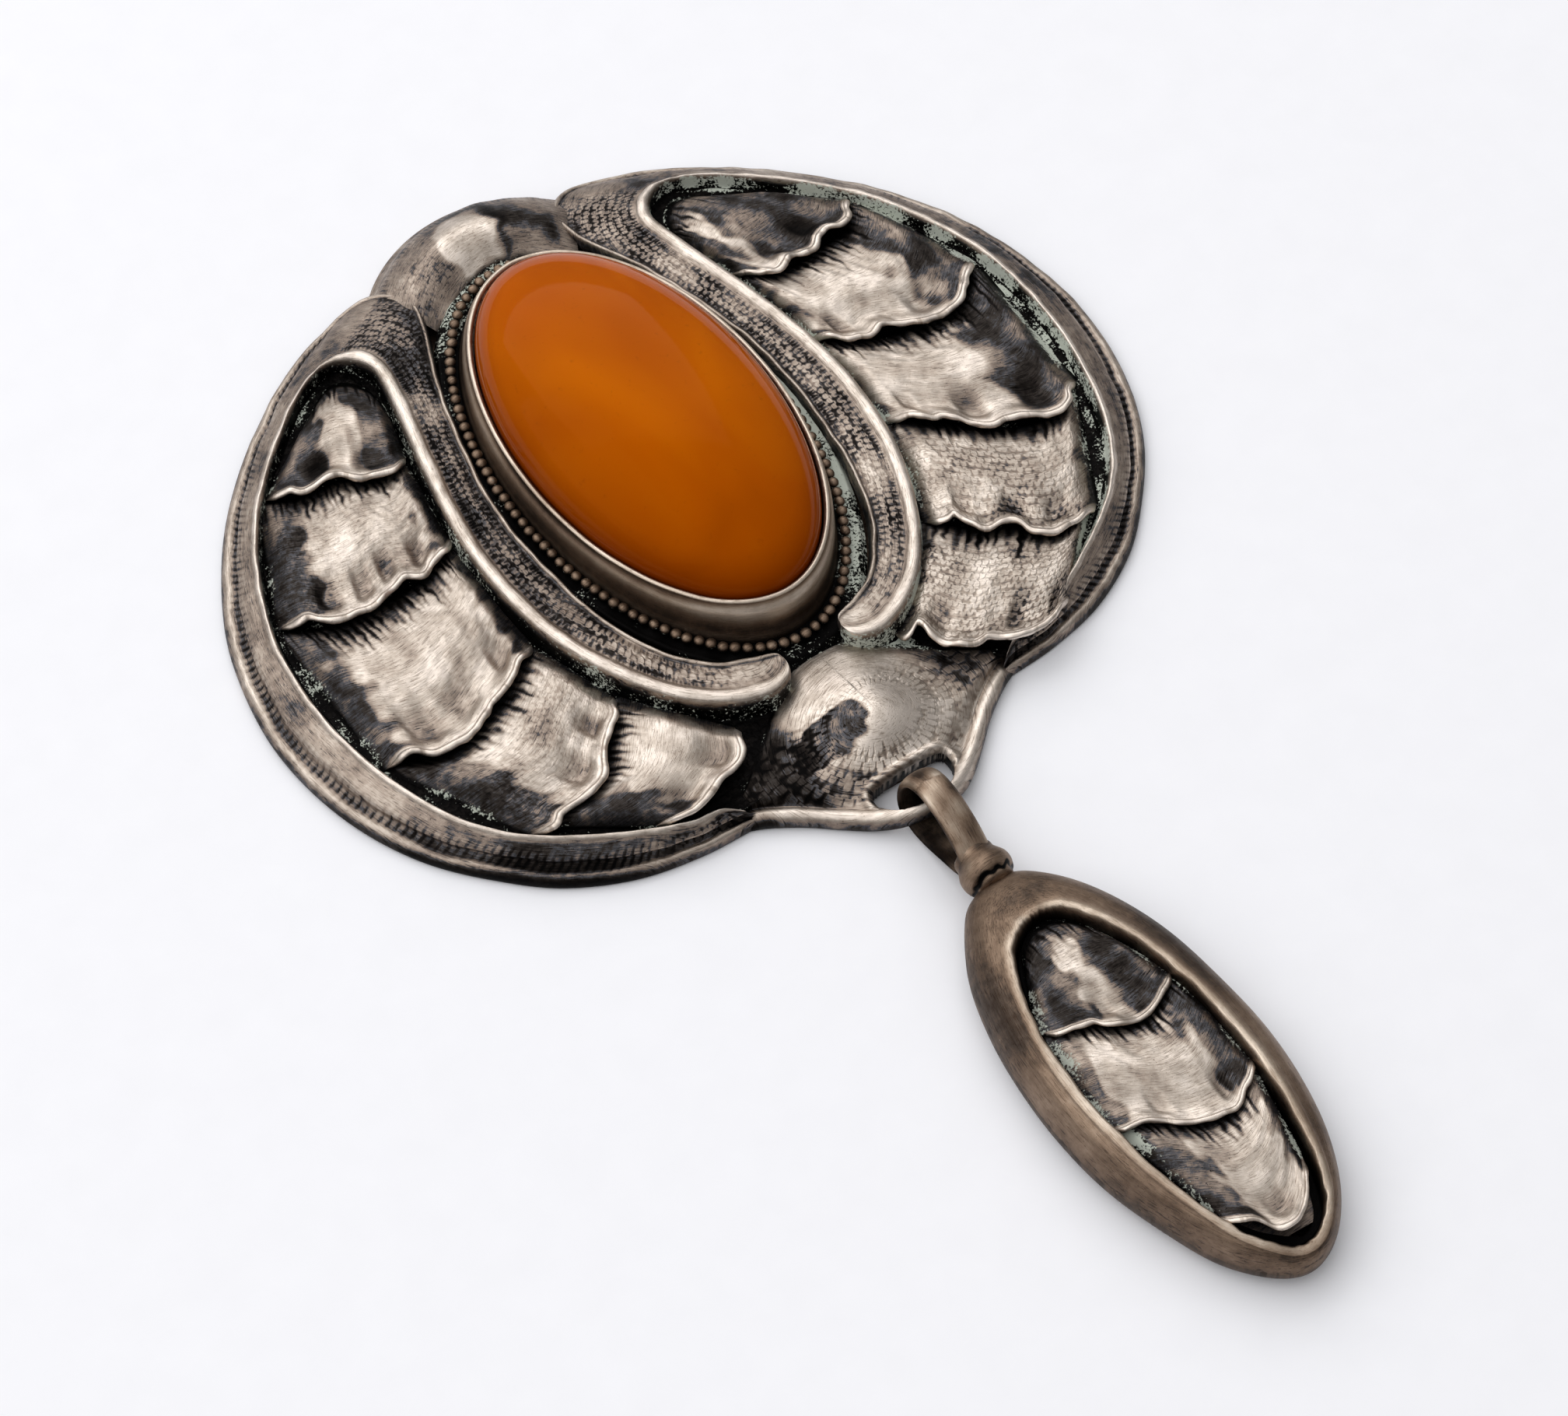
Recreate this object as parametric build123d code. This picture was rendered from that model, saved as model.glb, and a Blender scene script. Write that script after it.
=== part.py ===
from build123d import *
import math
import os

# Amber brooch lying face up, in millimetres: +Z up, +Y towards the lobe above the stone, +X to the
# right wing. The shapes are laid out from the middle of the plate and moved last, so that the origin
# is the middle of the whole brooch on the surface that it lies on.

# Silver plate
half_width = 34.0
half_height = 28.0
lobe_top_y = 28.9
sheet = 0.9
floor_sheet = 0.55
back_height = 2.2
foot_width = 0.8
edge_round = 0.7
rim_height = 1.5
rim_notch = 0.1
rim_groove = 0.45

# Stone, collet and beaded border
stone_width = 18.6
stone_length = 33.8
stone_dome = 4.5
stone_centre_y = 0.8
stone_gap = 0.12
seat_height = 3.3
seat_gap = 0.1
collet_wall = 0.42
collet_height = 6.5
border_gap_side = 0.95
border_gap_end = 1.95
bead_size = 0.75

# Chased relief: heights above the surface that the brooch lies on
ground_height = 2.9
rail_height = 3.85
rail_valley = 3.5
rail_side = 0.2
ridge_height = 2.85
ridge_step = 0.35
recess_floor = 1.9
root_rise = 0.4
crown_rise = 1.15
lip_rise = 1.5
lappet_fullness = 0.55
crown_share = 0.45
lip_share = 0.4
lobe_crest = 4.3
boss_height = 4.2
tail_height = 1.7
ridge_width = 0.7

# Tail, its slot and the bar below the slot
boss_y = -26.1
boss_half_width = 5.2
boss_reach_up = 9.0
boss_reach_down = 3.9
slot_half_width = 3.2
slot_top_y = -30.4
slot_arch = 0.7
slot_lip = 0.55
bar_width = 1.3
bar_depth = 1.25
bar_lift = 1.2
bar_reach = 3.9

# Pin behind the plate: hinge block, stem and catch in one
pin_stem_radius = 0.4
pin_stem_length = 43.0
pin_height = 0.75
pin_foot = 0.3
pin_line_y = 7.5
pin_block_length = 3.0
pin_block_width = 2.6
pin_gap = 0.1

# Drop, its ferrule and strap bail
drop_shift = -0.75
drop_half_width = 7.9
drop_length = 34.8
drop_waist = 1.9
drop_ridge = 4.75
drop_floor = 2.6
drop_root_rise = 0.25
drop_lip_rise = 1.7
drop_foot_share = 0.62
drop_turn_share = 0.9
drop_recess_share = 0.93
drop_fullness = 2.4
ferrule_length = 2.2
ferrule_radius = 1.95
ferrule_round = 0.75
ferrule_overlap = 0.5
bail_width = 3.0
bail_thickness = 0.8
bail_length = 8.2
bail_radius = 2.62
bail_neck_radius = 1.35
bail_clearance = 0.3
bail_edge_round = 0.3

# Lines across the right wing, from the beaded border to the plate's edge.
# place, degrees round the border, border to the rail's inner edge, border to the rail's outer ridge,
# edge point as shares of half_width and half_height, edge to the ridge, bend towards the tail
WING = [
    ("shoulder", 63.0, 2.30, 3.60, 0.252, 0.892, 2.0, 0.0),
    ("shoulder crest", 55.0, 1.75, 5.00, 0.375, 0.878, 2.6, 0.0),
    ("head of recess", 47.0, 1.25, 5.20, 0.510, 0.808, 3.1, -0.5),
    ("lappet 1", 37.5, 1.00, 4.60, 0.665, 0.670, 2.4, 0.6),
    ("lip 1", 26.0, 0.82, 4.30, 0.826, 0.448, 2.6, 0.5),
    ("lappet 2", 15.0, 0.75, 4.35, 0.920, 0.250, 2.9, 0.9),
    ("lip 2", 4.5, 0.83, 4.50, 0.974, 0.070, 3.1, 1.0),
    ("lappet 3", -9.0, 1.05, 4.95, 0.999, -0.190, 3.4, 1.4),
    ("lip 3", -24.5, 1.30, 5.30, 0.957, -0.465, 3.3, 1.5),
    ("lappet 4", -36.0, 1.65, 5.40, 0.890, -0.655, 3.1, 1.4),
    ("lip 4", -46.0, 1.82, 5.40, 0.790, -0.800, 2.7, 1.0),
    ("lappet 5", -58.0, 1.90, 5.20, 0.640, -0.915, 2.3, 0.5),
    ("lip 5", -69.0, 1.55, 4.50, 0.470, -0.980, 1.7, 0.2),
    ("foot of wing", -77.0, 1.42, 3.20, 0.318, -0.993, 1.1, 0.0),
]
# Edge of the tail from the wing to its tip, as shares of half_width and half_height
TAIL = [
    ("corner", 0.318, -0.993),
    ("waist", 0.232, -1.062),
    ("flank", 0.150, -1.140),
    ("shoulder of tip", 0.085, -1.205),
    ("tip", 0.000, -1.238),
]
# Lappets in each wing: first and last line of the table above, and how many lines each is cut into
LAPPETS = [
    ("lappet 1", 2.12, 4.0, 5),
    ("lappet 2", 4.14, 6.0, 5),
    ("lappet 3", 6.12, 8.0, 6),
    ("lappet 4", 8.12, 10.0, 5),
    ("lappet 5", 10.14, 12.0, 5),
]
# Drop from its neck to its end: share of the length, half width and the ridge's half width as
# shares of drop_half_width, back and ridge heights as shares of drop_ridge
DROP = [
    ("neck", 0.000, 0.25, 0.02, 0.20, 0.86),
    ("shoulder", 0.070, 0.53, 0.03, 0.06, 0.93),
    ("head of recess", 0.140, 0.715, 0.06, 0.00, 0.98),
    ("upper side", 0.220, 0.84, 0.43, 0.00, 1.00),
    ("side of lappet 1", 0.330, 0.95, 0.575, 0.00, 1.00),
    ("side of lappet 2", 0.460, 0.994, 0.66, 0.00, 1.00),
    ("widest", 0.570, 0.994, 0.69, 0.00, 1.00),
    ("side of lappet 3", 0.680, 0.93, 0.67, 0.00, 1.00),
    ("lower side", 0.790, 0.80, 0.575, 0.00, 0.98),
    ("turn", 0.880, 0.63, 0.40, 0.00, 0.94),
    ("foot of recess", 0.945, 0.42, 0.06, 0.03, 0.87),
    ("end", 0.990, 0.15, 0.02, 0.20, 0.72),
]
# Lappets of the drop: share of its length where each begins and ends at the sides, bend at the lip
DROP_LAPPETS = [
    ("upper", 0.150, 0.345, 1.9),
    ("middle", 0.352, 0.568, 2.6),
    ("lower", 0.575, 0.850, 2.4),
]

# Section of a rail: share of its width from the inner edge, share of rail_valley to rail_height
RAIL = [
    ("inner ridge", 0.0, 0.75),
    ("valley", 0.22, 0.0),
    ("far side of valley", 0.62, 0.0),
    ("outer ridge", 0.86, 1.0),
]
# Section of the plate's edge: share of edge_round inwards, share of the edge's height
EDGE = [
    ("roll", 1.0, 1.0),
    ("turn", 0.15, 0.75),
    ("side", 0.0, 0.4),
    ("foot", 0.3, 0.0),
]
# Section of the drop's flank: share of the way from the widest line to the ridge, share of height
DROP_FLANK = [
    ("widest line", 0.0, 0.0),
    ("outer flank", 0.12, 0.5),
    ("upper flank", 0.5, 0.85),
    ("ridge", 0.92, 1.0),
]
# Points across half of a recess: shares of its width in the wings, and of its half width in the drop
LAPPET_SHARES = (0.12, 0.3, 0.5, 0.7, 0.88)
FIELD_SHARES = (0.8, 0.55, 0.28, 0.0)
# Hollow back of the lobe: share of the way inwards and height of each row
LOBE_BACK = [(0.06, 1.35), (0.22, 2.1), (0.48, 2.3), (0.74, 2.3), (1.0, 2.2)]

# How many lines and rows the facets are made from
FRONT_ROWS = 16
LOBE_LINES = 7
TAIL_LINES = 6
SLOT_LINES = 5
DROP_LAPPET_LINES = 7


def between(a, b, share):
    return a + (b - a) * share


def smooth(rows, place):
    """Value of each column of a table at a place between its rows, on a smooth curve."""
    last = len(rows) - 1
    low = min(max(int(math.floor(place)), 0), last - 1)
    share = min(max(place - low, 0.0), 1.0)
    before = rows[max(low - 1, 0)]
    start = rows[low]
    end = rows[low + 1]
    after = rows[min(low + 2, last)]
    values = []
    for p0, p1, p2, p3 in zip(before[1:], start[1:], end[1:], after[1:]):
        slope = (p2 - p0) / 2
        next_slope = (p3 - p1) / 2
        turn = 3 * (p2 - p1) - 2 * slope - next_slope
        twist = 2 * (p1 - p2) + slope + next_slope
        values.append(p1 + share * (slope + share * (turn + share * twist)))
    return values


def along(a, b, share):
    return (between(a[0], b[0], share), between(a[1], b[1], share))


def step_back(point, towards, distance):
    """Point that lies a distance back from one point towards another."""
    length = math.dist(point, towards)
    return along(point, towards, distance / length)


def bump(share, sharpness=1.0):
    """0 at both ends of a span and 1 in its middle."""
    return max(math.sin(math.pi * min(max(share, 0.0), 1.0)), 0.0) ** sharpness


# Ovals round the stone
seat_a = stone_width / 2 + stone_gap
seat_b = stone_length / 2 + stone_gap
lip_a = seat_a + collet_wall
lip_b = seat_b + collet_wall
border_a = seat_a + collet_wall + border_gap_side - bead_size / 4
border_b = seat_b + collet_wall + border_gap_end
lobe_edge = (WING[0][4] * half_width, WING[0][5] * half_height)
tip_y = TAIL[-1][2] * half_height


def oval(angle, a, b, out=0.0):
    """Point of an oval round the stone, moved outwards by a distance square to the oval."""
    c = math.cos(math.radians(angle))
    s = math.sin(math.radians(angle))
    size = math.hypot(c / a, s / b)
    return (a * c + out * c / a / size, stone_centre_y + b * s + out * s / b / size)


def lobe_edge_point(share):
    """Point of the lobe's arc, from its top (0) to the shoulder of the wing (1)."""
    rise = lobe_top_y - lobe_edge[1]
    radius = (lobe_edge[0] ** 2 + rise**2) / (2 * rise)
    half_angle = math.atan2(lobe_edge[0], radius - rise)
    angle = half_angle * share
    return (radius * math.sin(angle), lobe_top_y - radius + radius * math.cos(angle))


def boss_surface(x, y):
    """Height of the tail's domed boss."""
    reach = boss_reach_up if y > boss_y else boss_reach_down
    fall = (x / boss_half_width) ** 2 + ((y - boss_y) / reach) ** 2
    return tail_height + (boss_height - tail_height) * math.exp(-fall)


def collet_rows(angle):
    """Stone's seat, collet and beaded border, from the inside out."""
    waist = (collet_height + ground_height) / 2
    foot_a = border_a - bead_size / 2
    foot_b = border_b - bead_size / 2
    rows = [(*oval(angle, seat_a, seat_b), seat_height)]
    rows.append((*oval(angle, seat_a, seat_b), collet_height))
    rows.append((*oval(angle, lip_a, lip_b), collet_height - collet_wall / 4))
    rows.append((*oval(angle, lip_a, lip_b, -collet_wall / 3), collet_height - collet_wall * 2))
    rows.append((*oval(angle, between(lip_a, foot_a, 0.3), between(lip_b, foot_b, 0.3)), waist))
    rows.append((*oval(angle, foot_a, foot_b), ground_height))
    rows.append((*oval(angle, border_a, border_b), ground_height + bead_size * 0.8))
    rows.append((*oval(angle, border_a, border_b, bead_size / 2), ground_height))
    return rows


def edge_rows(edge, inner, top, base):
    """Rounded edge of the plate, the flat foot under it and the two rows that lead back inside."""
    rows = []
    for name, inwards, height in EDGE:
        inwards *= edge_round
        rows.append((*step_back(edge, inner, inwards), between(base, top, height)))
    rows.append((*step_back(edge, inner, inwards + foot_width), base))
    return rows


def back_start(angle):
    """Innermost row of the hollow back, below the beaded border."""
    return (*oval(angle, border_a, border_b, bead_size), back_height)


def lobe_line(share):
    """Line across the lobe: share 0 at its middle, 1 at the wing."""
    angle = between(90.0, WING[0][1] + 1.6, share)
    edge = lobe_edge_point(share * 0.985)
    start = oval(angle, border_a, border_b, bead_size / 2 + 0.35)
    last = step_back(edge, start, edge_round)
    rows = [(*start, ground_height)]
    for step in range(1, FRONT_ROWS):
        part = step / FRONT_ROWS
        slope = between(ground_height, rim_height, part**1.6)
        dome = (lobe_crest - between(ground_height, rim_height, 0.3)) * bump(part**0.85, 0.8)
        rows.append((*along(start, last, part), slope + dome))
    rows += edge_rows(edge, start, rim_height, 0.0)
    foot = rows[-1]
    for part, z in LOBE_BACK:
        rows.append((*along(foot, back_start(angle), part), z))
    return collet_rows(angle) + rows


def wing_line(place, rise, sink):
    """Line across a wing. rise is the height of the lappet there, sink is 0 before the recess."""
    angle, ground, rail, edge_x, edge_y, rim, bend = smooth(WING, place)
    edge = (edge_x * half_width, edge_y * half_height)
    rail_in = oval(angle, border_a, border_b, ground)
    rail_out = oval(angle, border_a, border_b, rail)
    ridge = step_back(edge, rail_out, rim)
    crest = between(rail_valley, rail_height, sink)
    rows = [(*step_back(rail_in, rail_out, -rail_side), ground_height)]
    for name, share, height in RAIL:
        top = rail_height if share < 0.5 else crest
        rows.append((*along(rail_in, rail_out, share), between(rail_valley, top, height)))
    rows.append((*rail_out, crest - rail_side * sink))
    foot_in = step_back(rail_out, ridge, rail_side * 2)
    foot_out = step_back(ridge, rail_out, ridge_width)
    rows.append((*foot_in, between(rail_valley, recess_floor, sink)))
    for share in LAPPET_SHARES:
        x, y = along(foot_in, foot_out, share)
        base = between(between(rail_valley, ridge_height, share), recess_floor, sink)
        rows.append((x, y - bend * bump(share), base + rise * bump(share, lappet_fullness)))
    rows.append((*foot_out, between(ridge_height, recess_floor, sink)))
    rows.append((*step_back(ridge, rail_out, ridge_width / 3), ridge_height))
    rows.append((*step_back(ridge, rail_out, -ridge_width), ridge_height - ridge_step))
    rows.append((*step_back(edge, rail_out, edge_round + rim_groove), rim_height - rim_notch))
    rows += edge_rows(edge, rail_out, rim_height, 0.0)
    under_floor = between(back_height, recess_floor - floor_sheet, min(place / 2, 1.0))
    rows.append((*along(rows[-1], foot_out, 0.4), under_floor - 0.15))
    rows.append((*foot_out, under_floor))
    rows.append((*foot_in, under_floor))
    rows.append((*along(rail_in, rail_out, 0.5), rail_valley - sheet))
    rows.append(back_start(angle))
    return collet_rows(angle) + rows


def tail_line(share, slot_share):
    """Line across the tail: share 0 at the wing and 1 at the tip, slot_share 1 at the slot's end."""
    angle = between(WING[-1][1] - 1.5, -90.0, share)
    edge_x, edge_y = smooth(TAIL, share * (len(TAIL) - 1))
    edge = (edge_x * half_width, edge_y * half_height)
    start = oval(angle, border_a, border_b, bead_size / 2 + 0.45)
    base = bar_lift * max(1 - (edge[0] / bar_reach) ** 4, 0.0)
    top = base + bar_depth
    if slot_share <= 1.0:
        slot_x = slot_half_width * slot_share
        upper = (slot_x, slot_top_y - slot_arch * slot_share**2)
        lower_y = max(tip_y + bar_width, edge[1] + bar_width * 0.45)
        lower = (slot_x * 0.98, min(lower_y, upper[1] - 0.35))
    else:
        upper = step_back(edge, start, 2.1)
        lower = step_back(edge, start, 1.6)
    lip = step_back(upper, start, slot_lip)
    first = step_back(start, lip, 0.3)
    rows = [(*start, ground_height)]
    inner_rows = FRONT_ROWS - 3
    for step in range(inner_rows):
        x, y = along(first, lip, step / (inner_rows - 1))
        rows.append((x, y, boss_surface(x, y)))
    lip_height = rows[-1][2]
    rows.append((*upper, lip_height - 0.35))
    rows.append((*lower, top - 0.1))
    rows += edge_rows(edge, lower, top, base)[0:4]
    inner = step_back(edge, lower, min(edge_round * 0.3 + foot_width, math.dist(edge, lower) * 0.6))
    rows.append((*inner, base))
    rows.append((*lower, base + bar_depth * 0.35))
    rows.append((*upper, max(lip_height - 0.35 - sheet, base + 0.2)))
    for part in (0.35, 0.7):
        x, y = along(upper, back_start(angle), part)
        rows.append((x, y, min(boss_surface(x, y) - sheet, back_height)))
    rows.append(back_start(angle))
    return collet_rows(angle) + rows


def plate_lines():
    """Lines across the right half of the plate from lobe to tail, and which of them cross the slot."""
    lines = []
    for step in range(LOBE_LINES):
        lines.append(lobe_line(step / (LOBE_LINES - 1)))
    for place in (0.0, 0.5, 1.0, 1.5, 2.0):
        lines.append(wing_line(place, 0.0, 0.0))
    for name, first, last, count in LAPPETS:
        for step in range(count + 1):
            share = step / count
            rise = between(root_rise, crown_rise, min(share / crown_share, 1.0))
            rise = between(rise, lip_rise, max(share - 1.0 + lip_share, 0.0) / lip_share)
            lines.append(wing_line(between(first, last, share), rise, 1.0))
    for place in (12.12, 12.6, 13.0):
        lines.append(wing_line(place, 0.0, 1.0))
    for step in range(TAIL_LINES):
        lines.append(tail_line(between(0.08, 0.62, step / (TAIL_LINES - 1)), 2.0))
    slot_first = len(lines)
    for step in range(SLOT_LINES):
        share = step / (SLOT_LINES - 1)
        lines.append(tail_line(between(0.72, 1.0, share), 1.0 - share))
    return lines, slot_first


def faceted(points, loops):
    """Solid bounded by flat facets, each given by the numbers of its corners."""
    corners = [Vector(*point) for point in points]
    facets = [Face(Wire.make_polygon([corners[i] for i in loop])) for loop in loops]
    return Solid(Shell(facets))


def plate_solid():
    half, slot_first = plate_lines()
    last = len(half) - 1
    mirrored = [[(-x, y, z) for x, y, z in line] for line in half[last - 1 : 0 : -1]]
    lines = half + mirrored
    count = len(lines)
    rows = len(lines[0])
    points = [point for line in lines for point in line]
    front_middle = len(points)
    points.append((0.0, stone_centre_y, seat_height))
    points.append((0.0, stone_centre_y, seat_height - sheet))
    front_gap = len(collet_rows(0.0)) + FRONT_ROWS - 2
    back_gap = front_gap + 2 + 5
    loops = []
    for i in range(count):
        here = i * rows
        there = (i + 1) % count * rows
        in_slot = slot_first <= i < 2 * last - slot_first
        loops.append((front_middle, here, there))
        loops.append((front_middle + 1, there + rows - 1, here + rows - 1))
        for j in range(rows - 1):
            if in_slot and j in (front_gap, back_gap):
                continue
            a, b, c, d = here + j, here + j + 1, there + j + 1, there + j
            loops.append((a, b, c))
            loops.append((a, c, d))
        if in_slot:
            for front, back in ((front_gap, back_gap + 1), (front_gap + 1, back_gap)):
                quad = (here + front, there + front, there + back, here + back)
                if front == front_gap + 1:
                    quad = quad[::-1]
                loops.append((quad[2], quad[1], quad[0]))
                loops.append((quad[3], quad[2], quad[0]))
    for i, turn in ((slot_first, 1), (2 * last - slot_first, -1)):
        here = i * rows
        quad = (here + front_gap, here + front_gap + 1, here + back_gap, here + back_gap + 1)[::turn]
        loops.append((quad[0], quad[1], quad[2]))
        loops.append((quad[0], quad[2], quad[3]))
    return faceted(points, loops)


def amber_solid():
    """High cabochon: straight girdle inside the collet and a domed top."""
    half = stone_width / 2
    base = seat_height + seat_gap
    girdle = Pos(half / 2, (base + collet_height) / 2) * Rectangle(half, collet_height - base)
    quarter = Pos(half / 2, collet_height + stone_dome / 2) * Rectangle(half, stone_dome)
    dome = quarter & Pos(0, collet_height) * Ellipse(half, stone_dome)
    round_stone = revolve(Plane.XZ * (girdle + dome), Axis.Z)
    return Pos(0, stone_centre_y, 0) * scale(round_stone, by=(1, stone_length / stone_width, 1))


def pin_solid():
    """Hinge block, stem and catch behind the plate."""
    block_top = recess_floor - floor_sheet - pin_gap
    stem = Pos(0, pin_line_y, pin_height) * Rot(0, 90, 0) * Cylinder(pin_stem_radius, pin_stem_length)
    block_height = block_top - pin_foot
    block_z = pin_foot + block_height / 2
    hinge = Box(pin_block_length, pin_block_width, block_height)
    catch = Box(pin_block_length * 0.6, pin_block_width, block_height)
    reach = pin_stem_length / 2
    hinge = Pos(-reach, pin_line_y, block_z) * hinge
    catch = Pos(reach - pin_block_length * 0.4, pin_line_y, block_z) * catch
    return stem + hinge + catch


def drop_ring(place, bend, rise, depth):
    """Points round the drop on one line across it. depth is 0 outside the recess and 1 inside."""
    share, half, ridge, back, top = smooth(DROP, place)
    half *= drop_half_width
    ridge *= drop_half_width
    back *= drop_ridge
    top *= drop_ridge
    y = drop_top_y - share * drop_length
    waist = drop_waist if depth else (drop_waist + (back + top) / 2) / 2
    floor = between(top, drop_floor, depth)
    half_ring = [(half * drop_foot_share, back)]
    half_ring.append((half * drop_turn_share, between(back, waist, 0.4)))
    for name, inwards, height in DROP_FLANK:
        half_ring.append((between(half, ridge, inwards), between(waist, top, height)))
    inside = ridge * drop_recess_share
    half_ring.append((inside, between(top, floor, 0.75)))
    for part in FIELD_SHARES:
        half_ring.append((inside * part, floor + rise * (1 - part**drop_fullness)))
    ring = [(x, y - bend * max(1 - (x / max(ridge, 0.1)) ** 2, 0.0), z) for x, z in half_ring]
    mirrored = [(-x, y, z) for x, y, z in ring[-2::-1]]
    return [(x + drop_shift, y, z) for x, y, z in ring + mirrored]


def drop_place(share):
    """Place in the drop's table of a share of its length."""
    last = len(DROP) - 1
    for low in range(last):
        if share <= DROP[low + 1][1]:
            break
    start = DROP[low][1]
    return low + (share - start) / (DROP[low + 1][1] - start)


def drop_body():
    rings = []
    for place in (0.0, 0.5, 1.0, 1.5, 2.0):
        rings.append(drop_ring(place, 0.0, 0.0, 0.0))
    old_bend = 0.0
    for name, first, last, bend in DROP_LAPPETS:
        for step in range(DROP_LAPPET_LINES):
            part = step / (DROP_LAPPET_LINES - 1)
            rise = between(drop_root_rise, drop_lip_rise, bump(part / 2, lappet_fullness))
            place = drop_place(between(first, last, part))
            rings.append(drop_ring(place, between(old_bend, bend, part), rise, 1.0))
        old_bend = bend
    rings.append(drop_ring(drop_place(0.862), old_bend * 0.93, 0.1, 1.0))
    rings.append(drop_ring(drop_place(0.905), old_bend * 0.45, 0.1, 1.0))
    rings.append(drop_ring(drop_place(0.935), 0.0, 0.1, 0.6))
    for place in (10.0, 10.5, 11.0):
        rings.append(drop_ring(place, 0.0, 0.0, 0.0))
    size = len(rings[0])
    points = [point for ring in rings for point in ring]
    loops = []
    for i in range(len(rings) - 1):
        for j in range(size):
            a = i * size + j
            b = i * size + (j + 1) % size
            c = b + size
            d = a + size
            loops.append((a, c, b))
            loops.append((a, d, c))
    for ring, turn in ((0, 1), (len(rings) - 1, -1)):
        base = ring * size
        middle = len(points)
        xs, ys, zs = zip(*points[base : base + size])
        points.append((drop_shift, ys[0] + turn * 0.1, (min(zs) + max(zs)) / 2))
        for j in range(size):
            loops.append((middle, base + j, base + (j + 1) % size)[::turn])
    return faceted(points, loops)


def drop_solid():
    """Drop with its ferrule and the strap bail that goes round the bar of the tail's slot."""
    bail_z = bail_bottom + bail_radius
    neck_z = (DROP[0][4] + DROP[0][5]) / 2 * drop_ridge
    ferrule = Cylinder(ferrule_radius, ferrule_length)
    ferrule = fillet(ferrule.edges().filter_by(GeomType.CIRCLE), ferrule_round)
    ferrule_y = drop_top_y + ferrule_length / 2 - ferrule_overlap
    ferrule = Pos(drop_shift, ferrule_y, neck_z) * Rot(90, 0, 0) * ferrule
    big = Pos(bail_y, bail_z) * Circle(bail_radius)
    small = Pos(ferrule_y + ferrule_length / 4, neck_z) * Circle(bail_neck_radius)
    outline = make_hull(big.edges() + small.edges())
    loop = outline - offset(outline, -bail_thickness)
    strap = extrude(Plane.YZ * loop, bail_width / 2, both=True)
    rims = ShapeList()
    for end in strap.faces().filter_by(Axis.X):
        rims += end.outer_wire().edges()
    strap = Pos(drop_shift, 0, 0) * fillet(rims, bail_edge_round)
    return drop_body() + ferrule + strap


# The bail lies on the surface and goes round the bar at the tip of the tail
bail_bottom = max(bar_lift - bail_clearance - bail_thickness, 0.0)
bail_y = tip_y + bar_width / 2 - 0.1
drop_top_y = bail_y + bail_radius - bail_length - ferrule_length + ferrule_overlap
drop_end_y = drop_top_y - drop_length
middle_y = (lobe_top_y + drop_end_y) / 2

os.makedirs("parts", exist_ok=True)
move = Pos(0, -middle_y, 0)
export_step(move * plate_solid(), "parts/plate.step")
export_step(move * amber_solid(), "parts/amber.step")
export_step(move * pin_solid(), "parts/pin.step")
export_step(move * drop_solid(), "parts/drop.step")
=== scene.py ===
import math

import bmesh
import bpy
import numpy as np
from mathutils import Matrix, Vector


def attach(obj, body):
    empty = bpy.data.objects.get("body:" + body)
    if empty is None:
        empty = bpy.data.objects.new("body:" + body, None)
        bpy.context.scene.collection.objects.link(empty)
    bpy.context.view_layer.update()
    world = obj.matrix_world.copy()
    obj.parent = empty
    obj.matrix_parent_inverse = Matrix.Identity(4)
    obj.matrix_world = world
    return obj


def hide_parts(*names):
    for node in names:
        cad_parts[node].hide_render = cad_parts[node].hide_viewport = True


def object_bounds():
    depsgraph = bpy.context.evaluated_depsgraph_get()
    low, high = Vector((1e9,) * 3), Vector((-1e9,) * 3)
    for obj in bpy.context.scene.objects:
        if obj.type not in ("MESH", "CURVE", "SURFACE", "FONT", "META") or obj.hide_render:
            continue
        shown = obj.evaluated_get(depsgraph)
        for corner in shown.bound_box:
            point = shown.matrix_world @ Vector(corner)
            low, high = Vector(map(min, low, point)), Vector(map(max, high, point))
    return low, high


# Amber brooch of darkened silver, lying face up. Shapes are laid out in millimetres from the middle
# of the plate: +X to the right wing, +Y to the lobe above the stone, +Z up out of the face.

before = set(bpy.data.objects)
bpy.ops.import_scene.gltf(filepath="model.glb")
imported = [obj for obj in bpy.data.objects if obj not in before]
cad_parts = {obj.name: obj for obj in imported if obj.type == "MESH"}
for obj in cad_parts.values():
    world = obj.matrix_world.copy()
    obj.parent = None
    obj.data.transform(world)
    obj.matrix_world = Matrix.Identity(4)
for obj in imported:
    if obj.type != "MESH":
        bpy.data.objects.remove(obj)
cad_low, cad_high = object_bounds()

MM = 0.001
lobe_top_y = 28.9
middle_y = cad_high.y / MM - lobe_top_y

# Heights above the surface that the brooch lies on, where soles stay table_gap above it: the floor of
# a recess, the ground under the beads, the ridge of a wing's rim and the lips of the lappets
table_gap = 0.01
floor_z = 1.8
ground_z = 2.85
ridge_z = 2.9
lip_z = 3.45
collet_top_z = 6.5
stone_top_z = cad_high.z / MM

# Stone, collet and beaded border: half the width (a) and half the length (b) of each oval, and its middle
stone_a = 9.3
stone_b = 16.9
stone_y = 0.8
collet_a = 9.85
collet_b = 17.45
border_a = 10.65
border_b = 19.3
border_y = 1.0
bead_pitch = 0.85
bead_size = 0.84
bead_flatness = 0.72

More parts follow.
